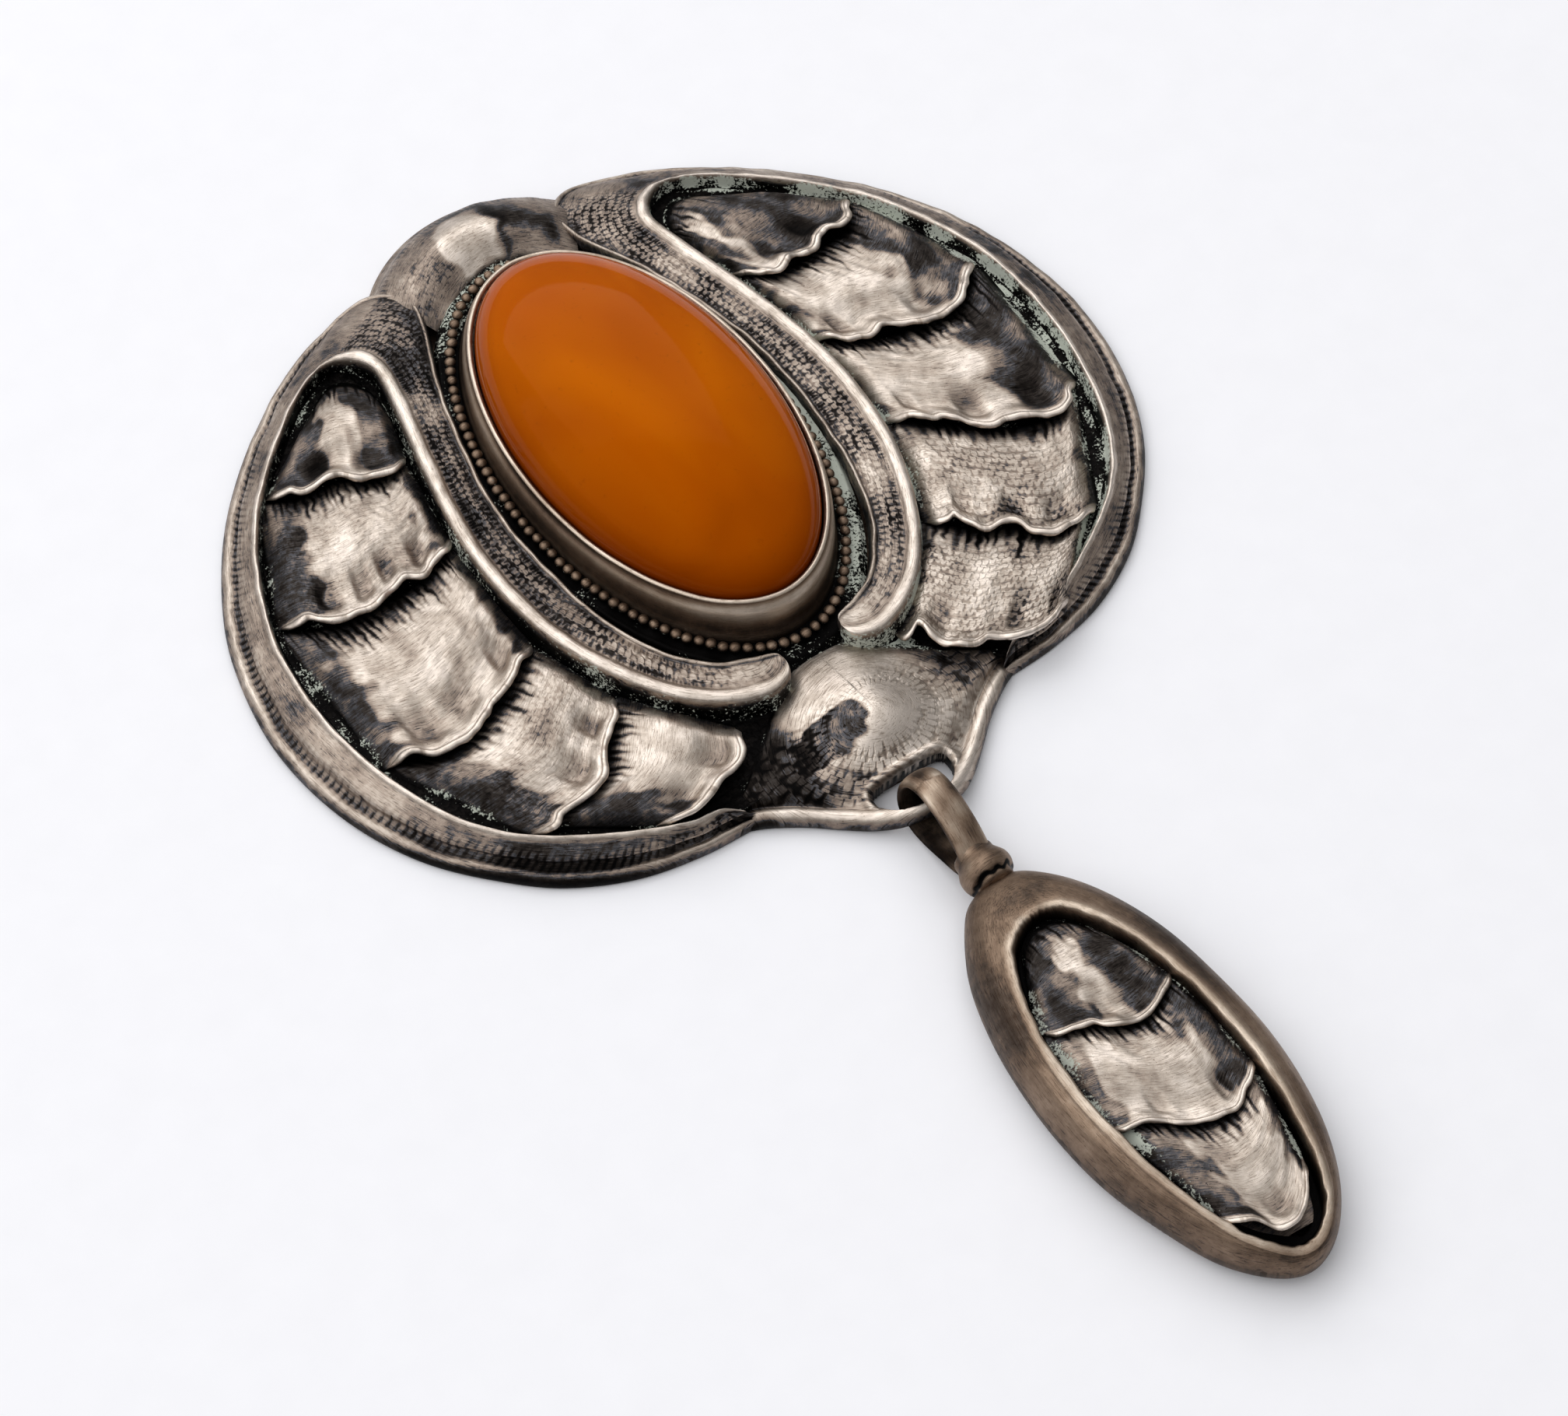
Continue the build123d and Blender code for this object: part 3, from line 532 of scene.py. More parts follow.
def band(name, side):
    """Rail, head and rim round one recess, in one strip. side is 1 for the right wing and -1 for the left."""
    length = even_places(BAND, [2, 3], 0.0)[1]
    foot_start = length - 9.5
    # Scales are coarser on the left tongue, the left rail gets painted shade and the right recess holds more
    # salt
    coarseness, painted_rail_shade, salty = (0.38, 0.12, 0.34) if side < 0 else (0.0, 0.0, 0.60)

    def shape(u, v):
        place = even_places(BAND, [2, 3], u)[0]
        ridge_x, ridge_y, edge_x, edge_y, rim, crest = on_table(BAND, place).T
        rim = np.clip(rim, 0, 1)
        rail_share, rail_add, rail_drop, rim_share, rim_add, rim_z, rubbed, sooty = section(BAND_SECTION, v)
        width = np.hypot(edge_x - ridge_x, edge_y - ridge_y)
        on_rail = rail_share * width + rail_add * np.clip(width / 3.2, 0, 1)
        on_rim = rim_share * width + rim_add * np.clip(width / 2.4, 0.4, 1)
        t = (1 - rim) * on_rail + rim * on_rim
        top = step(0.12, 0.25, v) * (1 - step(0.68, 0.78, v))
        s = u * length
        # The ridge goes on round the end of the tongue
        rail_drop = rail_drop * (1 - top * (1 - 0.4 * step(0.5, 1.8, s) - 0.6 * step(3.0, 9.0, s)))
        rail_z = crest + np.maximum(rail_drop, 1.65 - crest)
        z = (1 - rim) * rail_z + rim * (rim_z + (crest - ridge_z) * step(1.3, ridge_z, rim_z))
        back = width - t
        well_on_rim = step(0.9, 1.0, rim)
        head = hump(place, head_place, 2.4)
        coarse = coarseness * (1 - step(12.0, 20.0, s))
        # Larger scales at the foot, where the rim runs into the tail
        foot = step(foot_start, length - 6.0, s)
        lay_s = s - 0.32 * np.maximum(s - foot_start, 0)
        # Notches in the groove behind the rolled edge, slanting, and finer strokes at the rail's margins
        count = 2 * np.where(rim > 0.5, (s + 0.25 * t) / notch_pitch, s / stroke_pitch)
        notch = step(0.8, 1.0, rim) * hump(back, 1.18, 0.40)
        notch = notch * step(0.6, 0.95, pingpong(count)) * step(0.3, 0.5, v)
        notch = notch * (1 - foot) * (0.6 + 0.5 * waves(s, 0, 11.0, 15 + side))
        wobble = waves(s, t, 7.0, 5 + side)
        z = z - 0.05 * notch + top * (0.04 * wobble + 0.02 * waves(s, 2 * t, 2.3, 6 + side))
        t = t + top * 0.05 * waves(s, 0, 3.3, 8 + side)
        rail_face = step(1.1, 1.4, t) * step(0.4, 0.6, back) * (1 - step(0.1, 0.4, rim))
        rim_face = rim * step(1.0, 1.4, t) * step(1.5, 1.9, back)
        foot_face = foot * step(0.5, 0.8, t) * step(0.6, 0.9, back)
        fades = 0.5 + 0.5 * waves(s, t, 9.0, 14 + side)
        margins = 0.8 * np.maximum(hump(t, 1.5, 0.42), hump(back, 0.72, 0.36)) * rail_face * step(3.0, 9.0, s)
        behind_edge = 0.6 * well_on_rim * hump(back, 1.2, 0.42) * (0.6 + 0.4 * fades) * (1 - foot)
        # Painted dark reflection: the outer edge is darker along the lower side, and one stretch of each
        # rim's face is darker too
        painted_low_reflection = well_on_rim * step(0.6, -0.2, back)
        painted_low_reflection = painted_low_reflection * step(length - 38.0, length - 22.0, s) * (1 - foot)
        dark_length = hump(s, length - 15.5, 6.5) if side < 0 else 0.3 * hump(s, length - 40.0, 12.0)
        shaded = well_on_rim * step(0.5, 0.8, t) * step(-0.3, 0.1, back)
        shaded = shaded * dark_length * (0.8 + 0.3 * wobble)
        polish_and_painted_light = rubbed + 0.06 * wobble - 0.25 * notch - 0.2 * rim_face * fades - 0.1 * head * fades
        polish_and_painted_light = polish_and_painted_light + 0.12 * rail_face * (1 - step(4.0, 12.0, s)) - painted_rail_shade * rail_face * step(12.0, 20.0, s)
        polish_and_painted_light = polish_and_painted_light - 0.18 * foot_face - 0.28 * painted_low_reflection - 0.36 * shaded
        return {
            "x": side * (ridge_x + (edge_x - ridge_x) / np.maximum(width, 1e-3) * t),
            "y": ridge_y + (edge_y - ridge_y) / np.maximum(width, 1e-3) * t,
            "z": z,
            "lay": np.stack([lay_s, t * (1 - coarse) * (1 - 0.36 * foot), count], -1),
            "polish_and_painted_light": polish_and_painted_light,
            "soot": sooty + 0.25 * notch,
            "salt": hump(t, -0.1, 0.26) * salty * (1 + 0.4 * waves(s, t, 6.0, 21 + side)),
            "scales": np.maximum(rail_face * (1 - 0.2 * head) * (0.3 + 0.7 * step(2.0, 10.0, s)), foot_face),
            "strokes": np.maximum(margins * (1 - 0.3 * head), behind_edge),
        }

    return grid_mesh(name, shape, u_steps=int(length / fine), v_steps=70)


# Chased lappets: name, ribs at the root, punched scales, rubbed patch with painted light from and to (shares
# of the width), pits behind the lip (share of the width, width and depth in millimetres), points of the lip
# from rail to rim
RIGHT_LAPPETS = [
    ("lappet 1", 7, 0.0, 0.20, 0.36, [(0.36, 0.7, 0.35), (0.62, 0.9, 0.35)],
     [(13.9, 11.4), (15.4, 9.8), (16.8, 8.9), (18.0, 9.3), (19.0, 9.15), (20.0, 9.05), (20.8, 9.65),
      (21.7, 10.0), (22.7, 9.65), (23.6, 9.9), (24.2, 11.0), (25.4, 12.4)]),
    ("lappet 2", 10, 0.0, 0.08, 0.68, [(0.22, 0.6, 0.35), (0.62, 1.1, 0.4)],
     [(15.1, 3.2), (16.7, 1.7), (17.4, 0.9), (18.2, 0.6), (18.8, 0.25), (19.8, 0.55), (20.8, 0.2),
      (21.8, -0.4), (22.8, -0.95), (24.3, -1.15), (25.8, -0.9), (26.8, -0.1), (27.7, 0.8), (29.6, 2.2)]),
    ("lappet 3", 11, 0.0, 0.05, 0.62, [(0.18, 0.6, 0.3), (0.45, 1.0, 0.4), (0.72, 1.0, 0.4)],
     [(15.2, -5.8), (16.9, -7.0), (18.1, -8.2), (18.8, -8.5), (19.6, -9.3), (20.3, -10.3), (21.3, -11.2),
      (22.3, -11.3), (23.4, -11.7), (24.4, -12.3), (25.8, -12.9), (26.9, -12.6), (27.7, -11.6),
      (29.3, -10.9)]),
    ("lappet 4", 8, 0.6, 0.03, 0.90, [(0.24, 0.7, 0.35), (0.5, 0.7, 0.4), (0.72, 0.8, 0.35)],
     [(12.6, -14.6), (13.9, -15.7), (14.6, -15.9), (15.1, -17.3), (15.8, -18.3), (17.4, -18.5),
      (18.0, -19.3), (18.3, -20.3), (19.3, -21.1), (20.8, -21.2), (21.8, -21.1), (24.0, -20.4)]),
    ("lappet 5", 8, 0.8, 0.08, 0.92, [(0.24, 0.9, 0.35), (0.6, 0.5, 0.35), (0.8, 0.5, 0.3)],
     [(5.6, -20.9), (6.0, -22.0), (7.2, -21.9), (7.4, -23.3), (8.0, -24.5), (9.1, -25.5), (10.4, -25.6),
      (11.3, -26.2), (12.4, -26.8), (14.2, -27.0), (15.8, -26.5), (17.8, -25.4)]),
]
LEFT_LAPPETS = [
    ("lappet 1", 6, 0.0, 0.38, 0.60, [(0.30, 0.9, 0.25), (0.62, 1.3, 0.3)],
     [(13.6, 11.0), (15.2, 9.9), (16.2, 10.0), (17.2, 10.3), (18.0, 10.7), (18.8, 11.6), (19.7, 11.8),
      (21.0, 11.8), (21.8, 11.9), (22.5, 12.6), (24.4, 13.4)]),
    ("lappet 2", 9, 0.2, 0.14, 0.76,
     [(0.24, 0.8, 0.4), (0.42, 0.7, 0.35), (0.56, 0.7, 0.4), (0.73, 0.8, 0.4)],
     [(14.9, 3.4), (16.1, 2.1), (16.8, 1.9), (17.7, 1.6), (18.7, 1.0), (19.8, 1.6), (21.2, 1.3),
      (22.8, 0.8), (24.2, 1.0), (25.6, 1.3), (26.4, 1.9), (27.0, 2.7), (27.9, 2.9), (29.4, 3.6)]),
    ("lappet 3", 11, 0.0, 0.10, 0.84, [(0.22, 0.9, 0.4), (0.50, 1.3, 0.3), (0.72, 1.2, 0.35)],
     [(15.1, -7.4), (16.4, -8.4), (17.4, -8.8), (18.2, -9.5), (19.5, -10.2), (20.5, -10.5),
      (21.7, -11.2), (23.0, -11.8), (24.2, -11.9), (25.8, -11.7), (26.8, -10.9), (27.7, -10.5),
      (28.6, -10.5), (29.4, -10.4)]),
    ("lappet 4", 8, 0.3, 0.06, 0.76, [(0.28, 0.8, 0.4), (0.55, 1.2, 0.4)],
     [(12.9, -14.2), (14.0, -15.3), (14.4, -16.2), (15.2, -16.8), (16.2, -17.7), (17.0, -18.7),
      (17.7, -19.8), (18.7, -20.3), (20.2, -20.5), (21.7, -20.6), (22.6, -21.1), (24.2, -20.3)]),
    ("lappet 5", 8, 0.0, 0.10, 0.66, [(0.30, 1.1, 0.4), (0.66, 1.1, 0.3)],
     [(7.6, -20.9), (8.6, -22.5), (9.0, -23.6), (9.7, -24.2), (11.1, -24.5), (12.4, -25.0),
      (13.6, -25.45), (14.8, -25.5), (16.0, -25.05), (17.0, -24.5)]),
]
# Where the first lappet of a wing grows out of the head
HEAD_ROOT = [(12.6, 15.2), (12.9, 17.6), (13.9, 19.0), (15.3, 19.3), (17.4, 18.0), (19.8, 16.3)]
# Height along a lappet, from its root to its lip
LEAF_PROFILE = [
    ("root", 0.04), ("ribs", 0.42), ("ribs", 0.70), ("body", 0.87), ("crown", 0.95), ("body", 0.91),
    ("pits", 0.80), ("pits", 0.73), ("lip", 0.93),
]
# Section of a lip, outwards and up in millimetres from the end of the lappet's body
LIP_SECTION = [
    ("rises", 0.00, 0.00), ("rises", 0.10, 0.13), ("top", 0.25, 0.18), ("falls", 0.41, 0.12),
    ("front", 0.50, -0.04), ("under", 0.46, -0.22), ("under", 0.30, -0.38), ("under", 0.02, -0.50),
    ("back", -0.50, -0.85), ("back", -0.90, -1.50),
]


def lappet(row, root_points, base, top, seed, side=1, lip_scale=1.0):
    """One chased leaf: ribs at the root, a crowned body with a rubbed patch and painted light on it, and a
    wavy wire-like lip over the next one.
    """
    ribs, punched, rubbed_lit_from, rubbed_lit_to, pits, lip_points = row[1:]
    lip = smooth_line(lip_points)
    root = smooth_line(root_points)
    soft = smooth_line([along(lip, share) for share in (0.0, 0.2, 0.4, 0.6, 0.8, 1.0)])
    width = lip[1][-1]
    length = float(np.linalg.norm(along(lip, 0.5) - along(root, 0.5)))
    body_rows = int(length / fine) + 8
    lip_rows = 22
    body = body_rows / (body_rows + lip_rows)
    side_slope = 2.4 * lip_scale

    def shape(u, v):
        t = np.clip(v / body, 0, 1)
        q = np.clip((v - body) / (1 - body), 0, 1) * (len(LIP_SECTION) - 1)
        out, rise = on_table(LIP_SECTION, q).T * lip_scale
        start, soft_end, end = along(root, u), along(soft, u), along(lip, u)
        plan = start + (soft_end - start) * t[:, None] + (end - soft_end) * (t**3)[:, None]
        heading = soft_end - start
        heading = heading / np.linalg.norm(heading, axis=1)[:, None]
        chord = along(lip, np.clip(u + 0.02, 0, 1)) - along(lip, np.clip(u - 0.02, 0, 1))
        square = np.stack([chord[:, 1], -chord[:, 0]], -1)
        square = square / np.maximum(np.linalg.norm(square, axis=1)[:, None], 1e-6)
        square = square * np.sign(np.sum(square * heading, axis=1))[:, None]
        outward = heading * 0.45 + square * 0.55
        from_side = np.minimum(u, 1 - u) * width
        lateral = np.sin(np.pi / 2 * np.clip(from_side / side_slope, 0, 1)) ** 1.3
        near_lip = step(0.2, 1.3, from_side)
        s = u * width
        down = t * length
        crown = 0.86 + 0.14 * np.sin(np.pi * u)
        z = base - 0.1 + (top - base + 0.1) * section(LEAF_PROFILE, t)[0] * lateral * crown
        # Narrow grooves between the ribs at the root, some longer than others
        count = 2 * (u * ribs * 2.4 + 0.3 * waves(s, 0, 3.0, seed) + 0.15 * waves(s, down, 1.2, seed + 11))
        reach = 0.24 + 0.12 * waves(s, 0, 0.9, seed + 1)
        ribbed = step(0.03, 0.1, t) * (1 - step(reach - 0.16, reach + 0.06, t))
        groove = step(0.55, 0.95, pingpong(count)) * ribbed
        z = z - 0.07 * groove * lateral
        # Soft folds towards the lip, the hammer's unevenness, and pits behind the lip
        z = z + 0.05 * waves(s, 0.2 * down, 2.2, seed + 2) * step(0.4, 0.95, t) * lateral
        z = z + 0.02 * waves(s, down, 1.3, seed + 3) * lateral
        sunk = np.zeros(len(u))
        for share, pit_width, depth in pits:
            away = (u - share) * width / pit_width + 0.5 * (t - 0.8)
            sunk = sunk + 0.7 * depth * np.exp(-(away**4)) * step(0.66, 0.82, t) * (1 - step(0.90, 0.97, t))
        sunk = sunk * lateral
        z = z - sunk
        z = z + 0.12 * waves(s, 0, 2.6, seed + 4) * step(0.85, 1.0, t) * lateral
        z = z + rise * near_lip * (0.9 + 0.2 * waves(s, 0, 1.3, seed + 6))
        z = np.maximum(z, base - 0.25)
        plan = plan + outward * (out * near_lip * (1 + 0.12 * waves(s, 0, 1.7, seed + 5)))[:, None]
        on_lip = step(0.97, 1.0, t) * (1 - step(3.6, 4.6, q)) * near_lip
        under = step(4.2, 5.2, q)
        # The rubbed patch, which also carries painted light, runs up in pale streaks along the ribs
        ragged = u + 0.05 * waves(s, down, 2.2, seed + 7)
        lit = step(rubbed_lit_from - 0.03, rubbed_lit_from + 0.04, ragged)
        lit = lit * (1 - step(rubbed_lit_to - 0.05, rubbed_lit_to + 0.04, ragged))
        from_root = t + 0.12 * (1 - pingpong(count)) + 0.07 * waves(s, 0, 0.8, seed + 10) - 0.09
        lit = lit * step(0.10, 0.26, from_root) * step(0.15, 0.75, lateral)
        polish_and_painted_light = 0.42 + 0.42 * lit + 0.10 * lateral * waves(s, down, 4.0, seed + 9) - 0.9 * sunk
        polish_and_painted_light = polish_and_painted_light - 0.2 * groove
        soot = 0.8 * (1 - step(0.02, 0.14, t)) + 0.14 * groove + 0.7 * (1 - step(0.05, 0.4, lateral))
        soot = soot + 0.4 * sunk
        # More salt beside the right wing's lappets than beside the left wing's
        crusted = hump(from_side, 0.5, 0.75) if side > 0 else 0.6 * hump(from_side, 0.3, 0.55)
        salt = 0.5 * (1 - step(0.0, 0.1, t)) + 0.85 * crusted
        return {
            "x": side * plan[:, 0], "y": plan[:, 1], "z": z, "lay": np.stack([s, down, count], -1),
            "polish_and_painted_light": polish_and_painted_light * (1 - on_lip) + on_lip,
            "soot": np.clip(soot + under, 0, 1) * (1 - on_lip),
            "salt": salt * (0.6 + 0.4 * waves(s, down, 5.0, seed + 8)) * (1 - on_lip),
            "scales": punched * step(0.15, 0.4, t) * (1 - on_lip) * lateral,
            "strokes": 0.6 * ribbed * lateral,
        }

    return grid_mesh("lappet", shape, u_steps=int(width / fine), v_steps=body_rows + lip_rows)


def lappet_row(rows, root, gap, base, top, seed, **settings):
    """Lappets one below another. The root of each lies under the lip of the one above, gap away."""
    meshes = []
    for number, row in enumerate(rows):
        meshes.append(lappet(row, root, base, top, seed + 20 * number, **settings))
        lip = smooth_line(row[-1])
        root = [along(lip, share) + np.array(gap) for share in (0.0, 0.25, 0.5, 0.75, 1.0)]
    return meshes


def wing_lappets(name, rows, side, seed):
    """The five lappets of one wing."""
    return join_meshes(name, lappet_row(rows, HEAD_ROOT, (0.15, 0.75), floor_z, lip_z, seed, side=side))


# Sides of the floor of a recess, below the rail and below the rim
FLOOR_RAIL = [(1.4, -20.4), (4.9, -20.3), (7.0, -19.4), (11.6, -15.0), (14.4, -7.6), (14.9, -1.0),
              (13.4, 9.0), (11.9, 16.4), (13.2, 20.4)]
FLOOR_RIM = [(5.5, -26.5), (10.0, -26.9), (14.6, -26.4), (21.6, -23.2), (27.9, -16.6), (30.8, -5.0),
             (28.9, 6.2), (21.8, 15.8), (14.2, 20.6)]


def recess_floor(name, side):
    """Dark floor under the lappets of one wing. Salt has crept in along its walls, most on the right."""
    rail = smooth_line(FLOOR_RAIL)
    rim = smooth_line(FLOOR_RIM)
    salty = 0.52 if side > 0 else 0.36

    def shape(u, v):
        start, end = along(rail, u), along(rim, u)
        x, y = (start + (end - start) * v[:, None]).T
        walls = np.maximum(1 - step(0.03, 0.14, v), step(0.86, 0.95, v) * step(0.15, 0.25, u))
        corner = hump(x, 5.6, 1.6) * hump(y, -21.6, 1.2) if side > 0 else 0.0
        return {
            "x": side * x, "y": y, "z": floor_z - 0.1 + 0.05 * waves(x, y, 2.4, 31),
            "polish_and_painted_light": 0.3, "soot": 0.62, "scales": 0.7,
            "salt": salty * walls + 0.25 * waves(x, y, 5.0, 33) + 0.7 * corner,
        }

    return grid_mesh(name, shape, u_steps=110, v_steps=44)


def lobe_outline(share):
    """Points of the lobe's arc, from its left end (-1) through its top (0) to its right end (1)."""
    end_x, end_y = 8.9, 24.3
    top_y = lobe_top_y - 0.35
    rise = top_y - end_y
    radius = (end_x**2 + rise**2) / (2 * rise)
    angle = math.atan2(end_x, radius - rise) * share
    return np.stack([radius * np.sin(angle), top_y - radius + radius * np.cos(angle)], -1)


# Section of the lobe: share of the way from the border to the edge, distance added, height
LOBE_SECTION = [
    ("border", 0.0, 0.0, 2.75), ("rise", 0.10, 0.0, 3.10), ("dome", 0.27, 0.0, 3.90),
    ("crest", 0.45, 0.0, 4.10), ("slope", 0.63, 0.0, 3.65), ("slope", 0.80, 0.0, 2.65),
    ("foot", 1.0, -0.85, 1.55), ("edge", 1.0, -0.45, 1.05), ("edge", 1.0, -0.14, 0.80),
    ("side", 1.0, 0.0, 0.40), ("under", 1.0, -0.12, 0.06), ("sole", 1.0, -0.40, 0.0),
    ("sole", 1.0, -0.95, 0.0), ("inside", 1.0, -1.1, 0.6),
]


def lobe():
    """Domed lobe above the stone, from the beaded border to its round edge, low at both ends."""
    half_angle = 31
    half_arc = 10.5
    foot_z = 1.6

    def shape(u, v):
        share = u * 2 - 1
        edge = lobe_outline(share)
        angle = np.radians(90 - share * half_angle)
        start = np.stack([(border_a + 0.5) * np.cos(angle), border_y + (border_b + 0.5) * np.sin(angle)], -1)
        way, add, z = section(LOBE_SECTION, v)
        length = np.linalg.norm(edge - start, axis=1)
        t = way * length + add
        x, y = (start + (edge - start) / length[:, None] * t[:, None]).T
        z = np.where(z > foot_z, foot_z + (z - foot_z) * (1 - 0.62 * np.abs(share) ** 2.6), z)
        s = share * half_arc
        z = z + 0.05 * waves(x, y, 3.0, 41) * step(foot_z, 2.2, z)
        # Rubbed patch in the middle with a ring of film, dark streaks to the right, feathered left side
        off = np.hypot((share + 0.06) / 0.30, (way - 0.36) / 0.32) + 0.15 * waves(s, 1.5 * t, 2.8, 43)
        patch = 1 - step(0.85, 1.08, off)
        ring = hump(off, 1.28, 0.2) * step(-0.4, 0.0, share)
        streak = step(0.15, 0.3, share) * (1 - step(0.75, 0.9, share)) * hump(way + 0.35 * share, 0.62, 0.16)
        left = step(0.15, 0.45, -share)
        return {
            "x": x, "y": y, "z": z, "lay": np.stack([s, t * 0.8, 2 * s / stroke_pitch], -1),
            "polish_and_painted_light": 0.58 + 0.30 * patch - 0.22 * ring - 0.3 * streak + 0.05 * waves(s, t, 3.0, 44),
            "soot": 0.75 * hump(way, 0.0, 0.08) + 0.5 * step(0.75, 1.0, np.abs(share)) * (1 - way * 0.6),
            "salt": hump(way, 0.0, 0.05) * 0.6,
            "scales": 0.35 * left * step(0.1, 0.3, way) * (1 - step(0.9, 0.97, way)),
            "strokes": 0.7 * hump(way, 0.85, 0.10),
        }

    return grid_mesh("plate_lobe", shape, u_steps=170, v_steps=90)


# Tail: upper edge of the boss and outer edge of the tail, as points from the middle to the corner
BOSS_EDGE = [(0.0, -18.30), (0.9, -18.40), (1.8, -18.85), (2.7, -19.65), (3.6, -20.5), (4.7, -21.4),
             (5.9, -22.3), (7.0, -23.3), (8.4, -24.4), (9.8, -25.5), (11.0, -26.2)]
TAIL_EDGE = [(0.0, -34.66), (2.2, -34.1), (4.0, -33.0), (5.8, -31.5), (7.6, -29.95), (9.5, -28.65),
             (11.0, -27.85)]
# How far the tail's edge slants, as distance from the middle and length along Y for 1 mm across the rim
TAIL_SLANT = [(0, 1.02), (1.5, 1.1), (3, 1.25), (5, 1.35), (9, 1.2), (11, 1.1)]
# Section of the tail's rim: distance from the edge, height above the base, rubbed
TAIL_SECTION = [
    ("foot of rim", 1.15, 1.10, 0.6), ("rim", 0.85, 1.26, 0.9), ("rim", 0.55, 1.32, 1.0),
    ("rim", 0.25, 1.18, 0.85), ("edge", 0.06, 0.90, 0.5), ("side", 0.0, 0.5, 0.4), ("under", 0.1, 0.10, 0.3),
    ("sole", 0.35, 0.0, 0.4), ("sole", 0.8, 0.0, 0.4), ("inside", 1.0, 0.45, 0.2),
]


def boss_height(x, y):
    """Low rounded cone of the boss, long towards the stone and short towards the slot."""
    reach = 3.8 + 4.6 * step(-3.0, 3.0, y - boss_y)
    off = np.sqrt(((x - boss_x) / boss_half_width) ** 2 + ((y - boss_y) / reach) ** 2)
    return tail_z + (boss_z - tail_z) * (0.55 * np.exp(-1.8 * off**2) + 0.45 * step(1.45, -0.25, off))


def slot_distance(x, y):
    """Distance to the edge of the slot, flat above and round below, and negative inside it."""
    middle = slot_top_y - 0.7
    depth = middle - slot_bottom_y
    blend = 0.2
    round_off = (np.hypot((x - slot_x) / slot_half_width, (y - middle) / depth) - 1) * depth
    return blend * np.logaddexp((y - slot_top_y) / blend, round_off / blend)


def tail():
    """Boss below the stone, the slot under it, and the rim that becomes the bar."""
    rows_front = 120
    rows_edge = 30
    front = rows_front / (rows_front + rows_edge)
    boss_edge = smooth_line(BOSS_EDGE)[0]
    tail_edge = smooth_line(TAIL_EDGE)[0]
    slant_x, slant = zip(*TAIL_SLANT)
    # Height of the front's upper edge and of the rim's foot
    start_z = 1.7
    foot_z = TAIL_SECTION[0][2]

    def shape(u, v):
        x = (u * 2 - 1) * tail_half_width
        upper = np.interp(np.abs(x), boss_edge[:, 0], boss_edge[:, 1])
        lower = np.interp(np.abs(x), tail_edge[:, 0], tail_edge[:, 1])
        run = np.clip(v / front, 0, 1)
        on_front = v < front
        inwards, rim_z, rim_rubbed = section(TAIL_SECTION, np.clip((v - front) / (1 - front), 0, 1))
        rim_width = TAIL_SECTION[0][1] * step(0.0, 2.2, upper - lower)
        steep = np.interp(np.abs(x), slant_x, slant)
        y_front = upper + (lower + rim_width * steep - upper) * run
        y = np.where(on_front, y_front, lower + np.minimum(inwards, rim_width) * steep)
        base = bar_lift * hump(x, 0.0, bar_reach)
        away = slot_distance(x, y)
        lipped = hump(away, 0.32, 0.30) * step(-0.2, 0.1, away)
        rises = np.sqrt(step(0.0, 0.16, run))
        z = start_z + (boss_height(x, y) - start_z) * rises
        blend = step(0.72, 1.0, run)
        z = z * (1 - blend) + np.maximum(base + foot_z, z - 0.6 * blend) * blend
        z = z + 0.26 * lipped - 0.3 * (1 - step(0.0, 0.25, away))
        z = np.where(on_front, z, base + rim_z) * (1 - 0.4 * step(10.2, tail_half_width, np.abs(x)))
        # Scales in rings round the peak, and brush marks round it too
        dx, dy = x - boss_x, y - boss_y
        radius = np.hypot(dx / 1.25, dy)
        angle = np.arctan2(dx / 1.25, -dy)
        turned = np.hypot(dx / 1.7, dy)
        scales = step(1.9, 2.4, turned) * step(3.6, 1.2, dy) * on_front * (1 - step(0.95, 1.0, run))
        scales = scales * step(0.55, 0.7, away)
        # A stain to the left of the peak, dark upper corners and a duller lower left
        stain = np.hypot((x + 3.0) / 2.8, (y + 26.1) / 1.8) + 0.12 * waves(x, y, 1.6, 71)
        stain = 1 - step(0.92, 1.04, stain)
        dark_side = step(4.0, 6.5, np.abs(dx)) * step(-2.0, 0.5, dy)
        lower_left = step(1.5, 4.0, -dx) * step(-0.5, 1.5, -dy)
        rubbed = 1.0 - 0.16 * step(2.5, 5.5, radius) + 0.06 * waves(x, y, 3.0, 72)
        rubbed = rubbed * (1 - stain) + (0.44 + 0.03 * waves(x, y, 2.0, 73)) * stain - 0.36 * dark_side
        rubbed = rubbed - 0.24 * lower_left * (1 - stain) - 0.2 * step(4.0, 7.0, -dx)
        rim_rubbed = rim_rubbed - 0.3 * step(8.4, 10.6, np.abs(x))
        salt = hump(run, 0.0, np.where(x > 0, 0.11, 0.06)) * np.where(x > 0, 0.58, 0.3)
        return {
            "x": x, "y": y, "z": z, "lay": np.stack([angle * 4.0, radius * 0.56, (x + y) / 0.45], -1),
            "polish_and_painted_light": np.maximum(np.where(on_front, rubbed, rim_rubbed), 0.95 * lipped),
            "soot": 0.8 * (1 - rises) + 0.2 * dark_side + 0.9 * (1 - step(-0.1, 0.12, away)),
            "scales": scales,
            "strokes": 0.8 * lipped * on_front,
            "salt": salt * step(9.5, 7.5, np.abs(x)),
        }

    mesh = grid_mesh("plate_tail", shape, u_steps=170, v_steps=rows_front + rows_edge)
    cut_slot(mesh)
    return mesh


